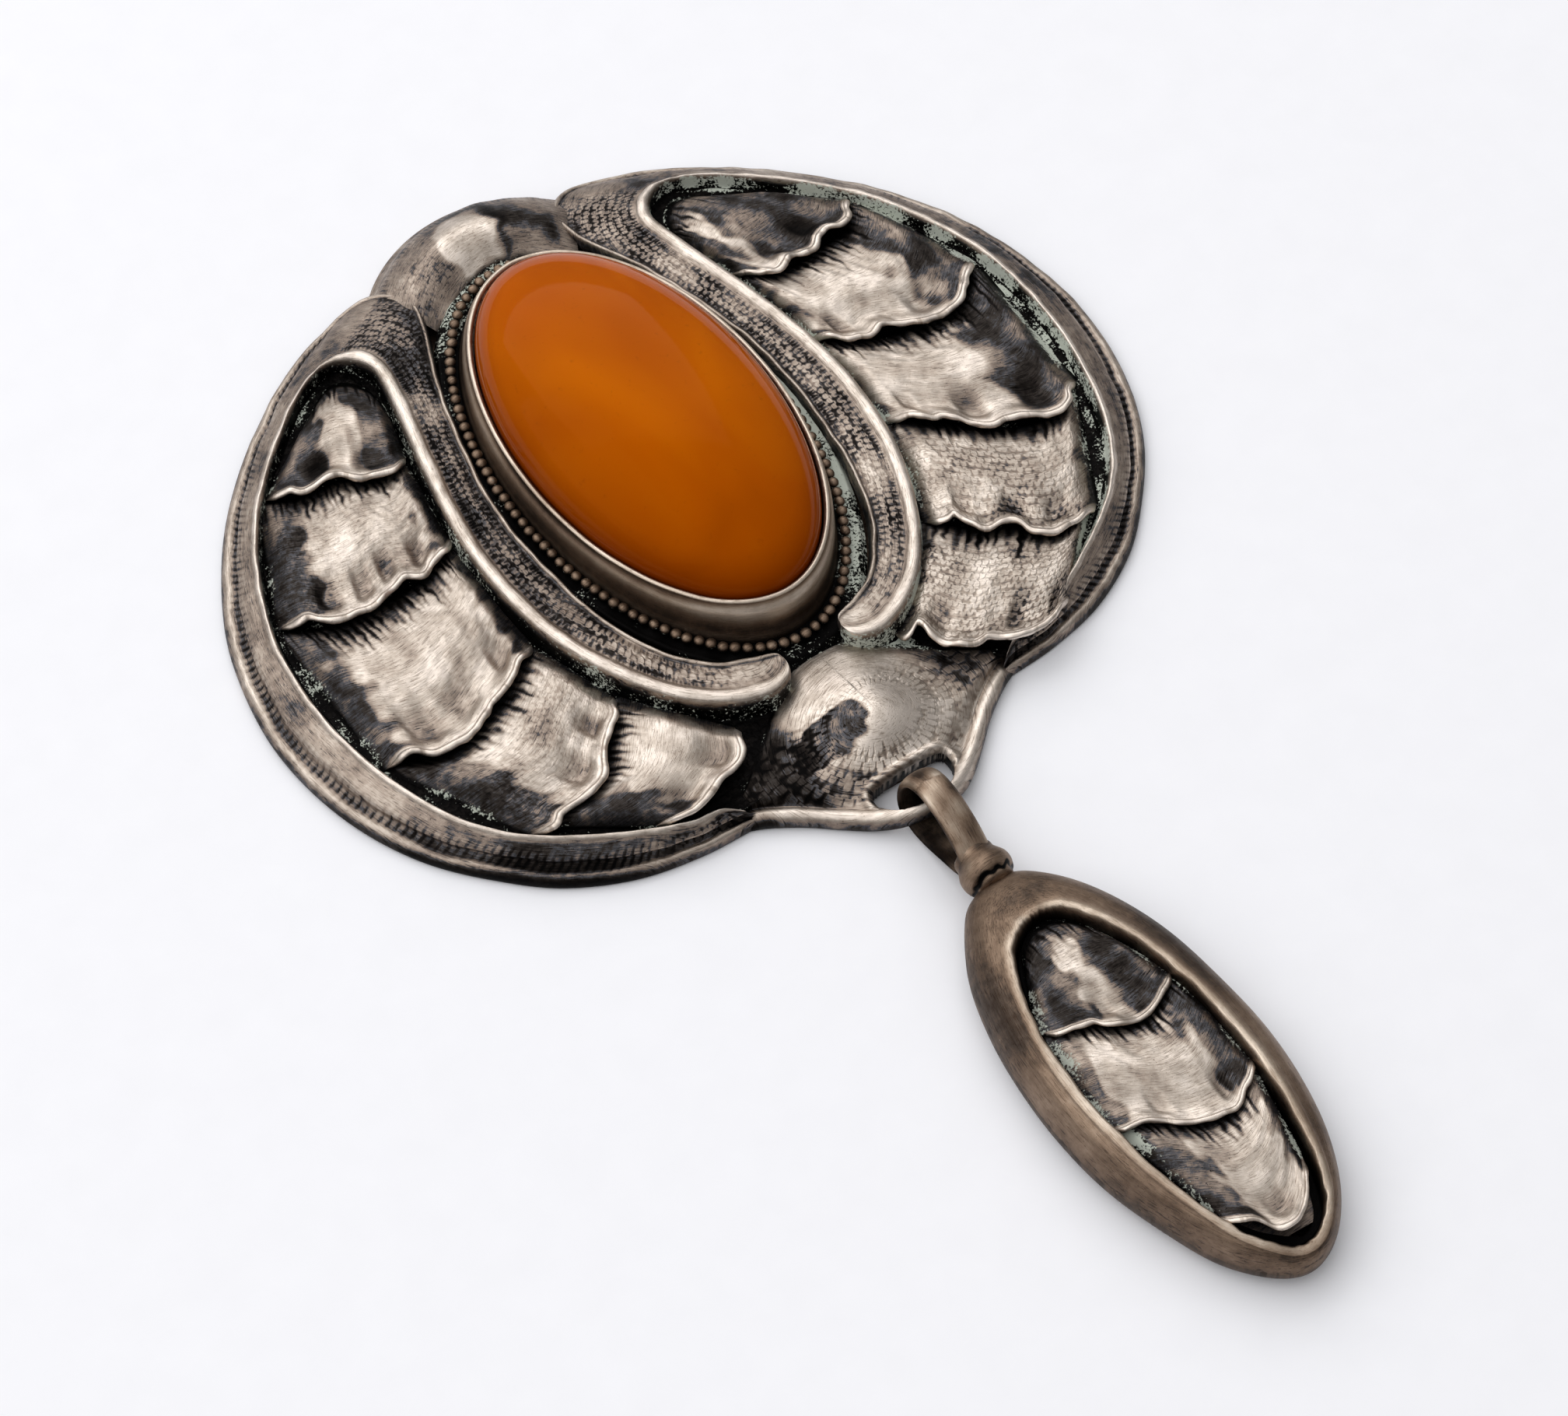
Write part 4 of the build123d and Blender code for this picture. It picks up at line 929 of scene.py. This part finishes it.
def cut_slot(mesh):
    """Hole for the bail: points near the slot's edge move onto it, what is inside goes, a wall drops."""
    bm = bmesh.new()
    bm.from_mesh(mesh)
    near = fine * 0.7
    small = 0.01
    wall_height = 1.0
    # Lowest point of the front near the slot, and of the edge that is left open round it
    front_z = 1.0
    open_z = 0.9
    inside = []
    for vertex in bm.verts:
        x, y = vertex.co.x / MM, vertex.co.y / MM - middle_y
        away = slot_distance(x, y)
        if abs(away) < near and vertex.co.z > front_z * MM:
            slope_x = (slot_distance(x + small, y) - away) / small
            slope_y = (slot_distance(x, y + small) - away) / small
            vertex.co.x -= slope_x * away * MM
            vertex.co.y -= slope_y * away * MM
        elif away < 0:
            inside.append(vertex)
    bmesh.ops.delete(bm, geom=inside, context="VERTS")
    rim = []
    for edge in bm.edges:
        corner = edge.verts[0].co
        close = abs(slot_distance(corner.x / MM, corner.y / MM - middle_y)) < 2 * near
        if edge.is_boundary and close and corner.z > open_z * MM:
            rim.append(edge)
    wall = bmesh.ops.extrude_edge_only(bm, edges=rim)["geom"]
    soot = bm.verts.layers.float["soot"]
    for vertex in wall:
        if isinstance(vertex, bmesh.types.BMVert):
            vertex.co.z = max(vertex.co.z - wall_height * MM, table_gap * MM)
            vertex[soot] = 0.7
    store_smooth(bm, mesh)


def ground():
    """Dark ground round the beaded border, with salt above the stone and to its right."""
    inner_a, inner_b = 9.2, 16.8
    wide_a, wide_b = 2.7, 4.1

    def shape(u, v):
        angle = u * math.tau
        a = inner_a + wide_a * v
        b = inner_b + wide_b * v
        x, y = a * np.cos(angle), border_y - 0.2 * v + b * np.sin(angle)
        z = ground_z - 0.12 + 0.05 * waves(x, y, 1.8, 51) + 0.1 * step(0.75, 1.0, v)
        z = z - 0.6 * step(0.85, 1.0, v)
        upper = step(0.3, 0.9, np.sin(angle + 0.3))
        right = step(0.1, 0.8, np.cos(angle))
        salt = (0.1 + 0.6 * np.maximum(0.8 * upper, right) + 0.2 * waves(x, y, 4.0, 52)) * step(0.25, 0.6, v)
        return {"x": x, "y": y, "z": z, "polish_and_painted_light": 0.2, "soot": 0.75, "salt": salt}

    return grid_mesh("plate_ground", shape, u_steps=420, v_steps=26)


# Section of the collet: share from the lip's oval to the foot's oval, distance added, height, rubbed, with
# painted bands of reflection down the wall
COLLET_SECTION = [
    ("inside", 0.0, -0.50, 5.2, 0.2), ("inside", 0.0, -0.47, 6.1, 0.4), ("lip in", 0.0, -0.38, 6.40, 0.9),
    ("lip", 0.0, -0.22, 6.52, 1.0), ("lip out", 0.0, -0.04, 6.42, 1.0), ("below lip", 0.0, -0.06, 6.20, 0.45),
    ("shoulder", 0.1, 0.0, 5.85, 0.62), ("shoulder", 0.2, 0.14, 5.45, 0.78), ("wall", 0.3, 0.16, 4.7, 0.50),
    ("wall", 0.6, 0.06, 3.8, 0.40), ("foot", 0.9, 0.0, 3.15, 0.55), ("foot", 1.0, 0.1, 2.7, 0.2),
]


def collet():
    """Plain wall round the stone: a thin bright lip above, flaring a little to its foot."""
    mean_radius = 13.5

    def shape(u, v):
        angle = u * math.tau
        share, add, z, rubbed = section(COLLET_SECTION, v)
        a = collet_a + (border_a - 0.5 - collet_a) * share
        b = collet_b + (border_b - 0.8 - collet_b) * share
        c, s = np.cos(angle), np.sin(angle)
        size = np.hypot(c / a, s / b)
        around = angle * mean_radius
        lift = 0.03 * waves(around, 0, 5.0, 61) * step(5.8, 6.1, z)
        # Painted highlight low on the front of the wall
        painted_front_highlight = hump(angle, 1.55 * np.pi, 0.8) * hump(z, 5.3, 0.9)
        behind = step(-0.4, 0.5, np.sin(angle))
        return {
            "x": a * c + add * c / a / size,
            "y": stone_y + (border_y - stone_y) * share + b * s + add * s / b / size,
            "z": z + lift, "lay": np.stack([around, z * 1.5, z], -1),
            "polish_and_painted_light": rubbed + 0.12 * waves(around, z, 9.0, 62) + 0.6 * painted_front_highlight,
            "soot": 0.4 * step(0.75, 1.0, v), "salt": 0.75 * (1 - step(0.1, 0.16, v)) * behind,
        }

    return grid_mesh("plate_collet", shape, u_steps=360, v_steps=44)


def beads():
    """Beaded wire round the collet: one small flattened ball after another, none quite like the next."""
    picker = np.random.default_rng(7)
    turns = np.linspace(0, math.tau, 49)[:-1]
    ring = smooth_line(
        [(border_a * math.cos(t), border_y + border_b * math.sin(t)) for t in turns], closed=True)
    count = round(ring[1][-1] / bead_pitch)
    bead_z = ground_z + bead_size * 0.34
    bm = bmesh.new()
    for number in range(count):
        x, y = along(ring, number / count)
        push_x, push_y = picker.uniform(-0.05, 0.05, 2)
        stretch = picker.uniform(0.86, 1.04)
        made = bmesh.ops.create_icosphere(bm, subdivisions=2, radius=bead_size / 2 * MM)
        bmesh.ops.scale(bm, vec=(stretch, 1.0, bead_flatness), verts=made["verts"])
        middle = Vector((x + push_x, y + push_y + middle_y, bead_z)) * MM
        bmesh.ops.translate(bm, vec=middle, verts=made["verts"])
    mesh = bpy.data.meshes.new("plate_beads")
    store_smooth(bm, mesh)
    co = np.zeros(len(mesh.vertices) * 3)
    mesh.vertices.foreach_get("co", co)
    x, y, z = co.reshape(-1, 3).T / MM
    lift = (z - ground_z) / bead_size
    paint(mesh, {"x": x, "y": y, "z": z, "polish_and_painted_light": 0.22 + 0.6 * lift, "soot": 0.85 - 1.5 * lift,
                 "salt": 0.5 - 0.7 * lift})
    return mesh


# Lower end of the back, above the slot
BACK_FOOT = [(9.0, -28.3), (6.8, -29.6), (4.2, -30.6), (0.0, -30.9), (-4.2, -30.6), (-6.8, -29.6),
             (-9.0, -28.3)]


def plate_back():
    """Hollow back, pressed from behind, from rim to rim and from the lobe to the slot."""
    right = [(row[3], row[4]) for row in BAND[18:35]]
    left = [(-x, y) for x, y in reversed(right)]
    top = [tuple(lobe_outline(share)) for share in (-0.75, -0.4, 0.0, 0.4, 0.75)]
    outline = smooth_line(right + BACK_FOOT + left + top, closed=True)
    # A little smaller than the outline, so that it stays behind the edges
    inside = 1 - 0.012
    edge_z = 0.35
    hollow = 0.85

    def shape(u, v):
        x, y = along(outline, u).T * inside * (1 - v)
        dip = step(0.0, 0.12, v)
        z = edge_z + hollow * dip + 0.12 * waves(x, y, 6.0, 71) * dip
        return {"x": x, "y": y, "z": z, "polish_and_painted_light": 0.45, "soot": 0.1}

    return grid_mesh("plate_back", shape, u_steps=260, v_steps=44, close=True, face_down=True)


# Drop, point by point from its neck round by the right side: name, x and y of the widest line, height
# of the back there, height of the widest line, then x, y and height of the inner ridge
DROP_RING = [
    ("neck", -0.75, -41.3, 1.2, 2.4, -0.75, -45.6, 4.45),
    ("right side", 1.3, -42.0, 1.0, 2.4, 0.3, -45.75, 4.5),
    ("right side", 3.6, -44.3, 0.6, 2.1, 1.4, -46.5, 4.6),
    ("right side", 5.4, -47.6, 0.2, 1.9, 2.7, -48.6, 4.7),
    ("right side", 6.6, -51.7, 0.0, 1.9, 3.9, -51.6, 4.75),
    ("right side", 7.15, -56.5, 0.0, 1.9, 4.75, -56.2, 4.75),
    ("right side", 7.3, -61.0, 0.0, 1.9, 5.0, -61.0, 4.75),
    ("right side", 6.8, -65.3, 0.0, 1.9, 4.6, -65.6, 4.7),
    ("right side", 5.7, -69.3, 0.0, 1.9, 3.7, -69.9, 4.55),
    ("right side", 3.9, -72.8, 0.1, 1.9, 2.5, -73.05, 4.2),
    ("right side", 1.6, -75.2, 0.4, 1.95, 0.85, -74.85, 3.8),
    ("end", -0.9, -76.1, 0.6, 2.0, -0.9, -75.35, 3.6),
    ("left side", -3.1, -75.1, 0.4, 1.95, -2.5, -74.5, 3.8),
    ("left side", -5.4, -72.2, 0.1, 1.9, -4.2, -72.15, 4.2),
    ("left side", -7.0, -68.1, 0.0, 1.9, -5.4, -68.7, 4.5),
    ("left side", -8.2, -63.6, 0.0, 1.9, -6.35, -64.2, 4.7),
    ("left side", -8.6, -58.9, 0.0, 1.9, -6.75, -59.0, 4.75),
    ("left side", -8.35, -54.3, 0.0, 1.9, -6.4, -53.9, 4.75),
    ("left side", -7.6, -50.1, 0.0, 1.9, -5.3, -50.0, 4.75),
    ("left side", -6.3, -46.2, 0.2, 2.0, -3.9, -47.2, 4.65),
    ("left side", -4.1, -42.8, 0.6, 2.2, -2.4, -46.0, 4.5),
    ("left side", -2.5, -41.7, 1.0, 2.4, -1.5, -45.65, 4.45),
]
# Section of the drop's rim: share from the widest line to the ridge, distance added, share of the
# height from the widest line to the ridge, rubbed, sooty
DROP_SECTION = [
    ("widest", 0.0, 0.0, 0.0, 0.50, 0.0), ("flank", 0.06, 0.0, 0.26, 0.52, 0.0),
    ("flank", 0.2, 0.0, 0.54, 0.54, 0.0), ("flank", 0.45, 0.0, 0.80, 0.52, 0.0),
    ("flank", 0.75, 0.0, 0.93, 0.54, 0.0), ("ridge", 1.0, -0.30, 0.99, 0.66, 0.0),
    ("ridge", 1.0, 0.05, 1.03, 0.86, 0.0), ("ridge", 1.0, 0.36, 1.00, 0.82, 0.0),
    ("inside", 1.0, 0.54, 0.80, 0.4, 0.3), ("wall", 1.0, 0.64, 0.40, 0.3, 0.6),
    ("foot", 1.0, 0.8, 0.0, 0.2, 0.7), ("floor", 1.0, 1.4, -0.05, 0.2, 0.7),
]


def drop_rim():
    """Smooth rounded rim of the drop with its back, closed below."""
    rings = [DROP_RING[-1], *DROP_RING, DROP_RING[0], DROP_RING[1]]
    back_rows = 26
    rim_rows = 56
    back = back_rows / (back_rows + rim_rows)
    # Share of the back's rows that turn under before it is flat
    turned_rows = 0.45
    half_round = 44.0
    centre_y = (drop_top_y + drop_end_y) / 2

    def shape(u, v):
        outer_x, outer_y, base, waist, ridge_x, ridge_y, crest = on_table(rings, 1 + u * len(DROP_RING)).T
        q = np.clip((v - back) / (1 - back), 0, 1) * (len(DROP_SECTION) - 1)
        share, add, climb, rubbed, sooty = on_table(DROP_SECTION, q).T
        width = np.hypot(ridge_x - outer_x, ridge_y - outer_y)
        to_x, to_y = (ridge_x - outer_x) / width, (ridge_y - outer_y) / width
        t = share * width + add
        x, y = outer_x + to_x * t, outer_y + to_y * t
        z = waist + (crest - waist) * climb
        # Inside the ridge the wall goes down to the floor of the recess
        inner = step(8.0, 10.0, q)
        z = z * (1 - inner) + (drop_floor_z + (crest - drop_floor_z) * np.clip(climb, 0, 1)) * inner
        s = half_round * pingpong(2 * u)
        z = z + 0.04 * waves(s, t, 6.0, 81) * step(2.5, 3.5, q) * (1 - inner)
        jag = 0.05 * waves(s, 0, 2.4, 82) * hump(q, 7.0, 1.2)
        x, y = x + to_x * jag, y + to_y * jag
        # Back: rounded under the widest line, then flat
        w = np.clip(1 - v / back, 0, 1)
        under = v < back
        turn = np.clip(w / turned_rows, 0, 1)
        round_in = 1 - np.cos(turn * np.pi / 2)
        flat = np.clip((w - turned_rows) / (1 - turned_rows), 0, 1)
        squeeze = 1 - 0.35 * round_in * turn - 0.65 * flat
        back_x = drop_x + (outer_x - drop_x) * squeeze
        back_y = centre_y + (outer_y - centre_y) * np.sqrt(np.clip(squeeze, 0, 1))
        back_z = waist + (base * (1 - flat) - waist) * np.sin(turn * np.pi / 2)
        x, y, z = np.where(under, back_x, x), np.where(under, back_y, y), np.where(under, back_z, z)
        return {
            "x": x, "y": y, "z": z, "lay": np.stack([s, t, z], -1),
            "polish_and_painted_light": np.where(under, 0.45, rubbed + 0.10 * waves(s, t * 2, 9.0, 83)),
            "soot": np.where(under, 0.1, sooty),
        }

    return grid_mesh("drop_rim", shape, u_steps=420, v_steps=back_rows + rim_rows, close=True)


# The drop's lappets, in the columns of the wings' tables
DROP_LAPPETS = [
    ("upper", 5, 0.0, 0.42, 0.58, [(0.45, 0.6, 0.2)],
     [(-5.9, -53.0), (-4.6, -53.9), (-3.6, -54.2), (-2.5, -54.5), (-1.9, -55.2), (-0.8, -55.8),
      (0.4, -56.0), (1.6, -55.8), (2.6, -55.2), (3.2, -54.9), (4.5, -54.0)]),
    ("middle", 8, 0.0, 0.14, 0.72, [(0.34, 0.7, 0.2), (0.70, 0.6, 0.3)],
     [(-6.4, -61.0), (-5.6, -61.9), (-4.3, -62.2), (-3.2, -62.8), (-2.2, -63.7), (-0.9, -64.4),
      (0.4, -64.7), (1.4, -64.8), (2.5, -64.0), (3.4, -63.5), (4.8, -62.2)]),
    ("lower", 8, 0.0, 0.30, 0.80, [(0.5, 0.8, 0.25)],
     [(-4.5, -69.9), (-4.1, -70.9), (-3.3, -71.5), (-2.5, -72.2), (-1.8, -73.2), (-0.8, -73.5),
      (0.2, -73.0), (1.1, -72.2), (1.9, -71.1), (3.0, -69.6)]),
]
DROP_ROOT = [(-4.0, -49.4), (-2.6, -47.1), (-0.8, -46.3), (0.9, -47.0), (2.4, -49.2)]
# Sides of the floor of the drop's recess
DROP_FLOOR_LEFT = [(-2.4, -46.4), (-5.0, -51.0), (-6.2, -58.5), (-5.6, -66.0), (-2.6, -73.6)]
DROP_FLOOR_RIGHT = [(0.9, -46.4), (3.5, -51.0), (4.6, -58.5), (4.1, -66.0), (1.0, -73.8)]


def drop_lappets():
    """The three lappets in the drop's recess, and the floor under them."""
    meshes = lappet_row(DROP_LAPPETS, DROP_ROOT, (0.1, 0.7), drop_floor_z + 0.5, drop_lip_z, 200,
                        lip_scale=0.75)
    left = smooth_line(DROP_FLOOR_LEFT)
    right = smooth_line(DROP_FLOOR_RIGHT)

    def floor(u, v):
        x, y = (along(left, u) * (1 - v)[:, None] + along(right, u) * v[:, None]).T
        return {"x": x, "y": y, "z": np.full(len(u), drop_floor_z - 0.1), "polish_and_painted_light": 0.5, "soot": 0.3}

    meshes.append(grid_mesh("drop_floor", floor, u_steps=60, v_steps=20))
    return join_meshes("drop_lappets", meshes)


# Bail: middle line of the strap in the plane of the drop's length, as y and z
BAIL_LINE = [(-34.1, 5.0), (-32.9, 4.2), (-32.4, 2.9), (-32.8, 1.5), (-34.1, 0.75), (-35.6, 0.8),
             (-37.4, 1.3), (-39.3, 1.9), (-39.9, 2.6), (-39.3, 3.3), (-37.7, 4.25), (-35.8, 5.0)]


def bail():
    """Half-round strap bent into a loop through the slot. Its ends meet in the ferrule."""
    line = smooth_line(BAIL_LINE, closed=True)
    near = 0.004
    outer_bulge = 0.55
    inner_bulge = 0.28

    def shape(u, v):
        centre = along(line, u % 1.0)
        chord = along(line, (u + near) % 1.0) - along(line, (u - near) % 1.0)
        chord = chord / np.linalg.norm(chord, axis=1)[:, None]
        out = np.stack([chord[:, 1], -chord[:, 0]], -1)
        out = out * np.sign(np.sum(out * (centre - np.array(bail_middle)), axis=1))[:, None]
        angle = v * math.tau
        rise, side = np.sin(angle), np.cos(angle)
        across = bail_width / 2 * np.sign(side) * np.abs(side) ** 0.85
        bulge = np.where(rise > 0, outer_bulge, inner_bulge) * bail_thickness * rise
        s = u * line[1][-1]
        outer = step(0.0, 0.6, rise)
        y = centre[:, 0] + out[:, 0] * bulge
        z = centre[:, 1] + out[:, 1] * bulge
        # The strap is lighter along its outer top: rubbed wear and a painted highlight
        return {
            "x": drop_x + across - 0.3 * (1 - step(1.0, 4.5, z)), "y": y, "z": z,
            "lay": np.stack([s, across, z], -1),
            "polish_and_painted_light": 0.40 + 0.30 * outer * step(2.0, 4.0, z) + 0.18 * waves(s, across, 2.0, 91),
            "soot": 0.35 * (1 - outer) + 0.2 * (1 - step(1.0, 3.0, z)),
        }

    return grid_mesh("drop_bail", shape, u_steps=200, v_steps=36, close=True)


# Ferrule: distance along the drop's length, radius
FERRULE_LINE = [
    ("upper end", -38.75, 0.3), ("upper end", -38.8, 1.2), ("upper end", -39.05, 1.52), ("neck", -39.5, 1.58),
    ("swells", -39.8, 1.72), ("belly", -40.3, 1.95), ("belly", -40.8, 2.0), ("narrows", -41.25, 1.86),
    ("seam", -41.5, 1.6), ("in the drop", -41.9, 1.4), ("in the drop", -42.3, 0.3),
]
seam_y = -41.5


def ferrule():
    """Rounded ring that holds the ends of the bail on the drop's neck, with a rough seam below."""
    def shape(u, v):
        angle = u * math.tau
        y, radius = section(FERRULE_LINE, v)
        radius = radius * (1 + 0.02 * waves(angle * 2, y, 2.0, 95)) * ferrule_size
        seam = hump(y, seam_y + 0.12 * waves(angle * 3, 0, 2.0, 97), 0.16)
        return {
            "x": drop_x + radius * np.cos(angle), "y": y, "z": ferrule_z + radius * np.sin(angle),
            "lay": np.stack([angle * 2, y, y], -1),
            "polish_and_painted_light": 0.58 - 0.3 * seam + 0.10 * waves(angle * 2, y, 2.0, 96), "soot": 0.9 * seam,
            "salt": 0.5 * hump(y, -38.9, 0.3) * step(0.0, 0.7, -np.cos(angle)),
        }

    return grid_mesh("drop_ferrule", shape, u_steps=72, v_steps=60, close=True)


def amber_stone():
    """Cabochon: a straight girdle behind the collet's lip and an oval dome that closes at its top."""
    # Rows of the girdle, as a share of all rows and of the dome's own
    girdle = 0.13
    girdle_to_dome = 0.15
    girdle_height = 2.6
    dome_z = collet_top_z - 0.35
    # A little smaller than the CAD stone, clear of the collet
    inside = 1 - 0.004

    def shape(u, v):
        angle = u * math.tau
        rise = np.clip(v * (1 + girdle_to_dome) - girdle_to_dome, 0, 1) * np.pi / 2
        low = np.clip(1 - v / girdle, 0, 1)
        spread = np.cos(rise) ** 0.9
        x = stone_a * spread * np.cos(angle) * inside
        y = stone_y + stone_b * spread * np.sin(angle) * inside
        z = dome_z - girdle_height * low + (stone_top_z - dome_z) * np.sin(rise)
        return {"x": x, "y": y, "z": z}

    return grid_mesh("amber_stone", shape, u_steps=160, v_steps=70, close=True)


# Pieces of the brooch

for mesh, look in (
    (band("plate_band_right", 1), chased),
    (recess_floor("plate_floor_right", 1), chased),
    (band("plate_band_left", -1), chased),
    (recess_floor("plate_floor_left", -1), chased),
    (wing_lappets("plate_lappets_right", RIGHT_LAPPETS, 1, 300), chased),
    (wing_lappets("plate_lappets_left", LEFT_LAPPETS, -1, 500), chased),
    (plate_back(), worn),
    (lobe(), chased),
    (tail(), chased),
    (ground(), chased),
    (collet(), worn),
    (beads(), worn),
):
    piece(mesh, look, "plate")
piece(amber_stone(), amber_look, "amber")
for mesh, look in ((drop_rim(), worn), (drop_lappets(), chased), (bail(), worn), (ferrule(), worn)):
    piece(mesh, look, "drop")

# The pin keeps the CAD shape
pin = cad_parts["pin"]
pin.data.materials.clear()
pin.data.materials.append(worn)

# White paper under the brooch
sheet = bpy.data.meshes.new("paper")
bm = bmesh.new()
bmesh.ops.create_grid(bm, x_segments=1, y_segments=1, size=1.5)
bm.to_mesh(sheet)
bm.free()
floor = bpy.data.objects.new("paper", sheet)
bpy.context.scene.collection.objects.link(floor)
floor.data.materials.append(plain_paper())


def soft_light(name, place, size, power):
    """Rectangular soft light that faces the brooch."""
    data = bpy.data.lights.new(name, "AREA")
    data.shape = "RECTANGLE"
    data.size, data.size_y = size
    data.energy = power
    light = bpy.data.objects.new(name, data)
    bpy.context.scene.collection.objects.link(light)
    light.location = place
    light.rotation_euler = (-Vector(place)).to_track_quat("-Z", "Y").to_euler()


soft_light("softbox_left", (-0.50, 0.15, 0.60), (1.00, 0.80), 2.3)
soft_light("softbox_behind", (0.10, 0.55, 0.55), (0.90, 0.60), 2.3)

# White tent over the table: bright overhead, a little to the left and behind, and dark near the table
tent_top = (-0.12, 0.18, 0.976)
world = bpy.data.worlds.new("studio")
world.use_nodes = True
sky = world.node_tree
sky.nodes.clear()
ray = add_node(sky, "TexCoord", out="Generated")
facing = add_node(sky, "VectorMath", {0: ray, 1: tent_top}, "Value", operation="DOT_PRODUCT")
tent = add_node(sky, "ValToRGB", {"Fac": facing}, stops=[(0.05, 0.16), (0.45, 0.45), (0.85, 1.0)])
glow = add_node(sky, "Background", {"Color": tent, "Strength": 0.85})
add_node(sky, "OutputWorld", {"Surface": glow})
bpy.context.scene.world = world
bpy.context.scene.view_settings.view_transform = "Standard"

# Camera at the photograph's angle: place and aim in millimetres from the middle of the plate
camera_place = (-108.23, -170.49, 280.51)
camera_aim = (-3.39, -20.85, 0.0)
lens = bpy.data.cameras.new("camera")
lens.sensor_width = 36.0
lens.lens = 111.6
camera = bpy.data.objects.new("camera", lens)
bpy.context.scene.collection.objects.link(camera)
camera.location = Vector((camera_place[0], camera_place[1] + middle_y, camera_place[2])) * MM
aim = Vector((camera_aim[0], camera_aim[1] + middle_y, camera_aim[2])) * MM
camera.rotation_euler = (aim - camera.location).to_track_quat("-Z", "Y").to_euler()
bpy.context.scene.camera = camera
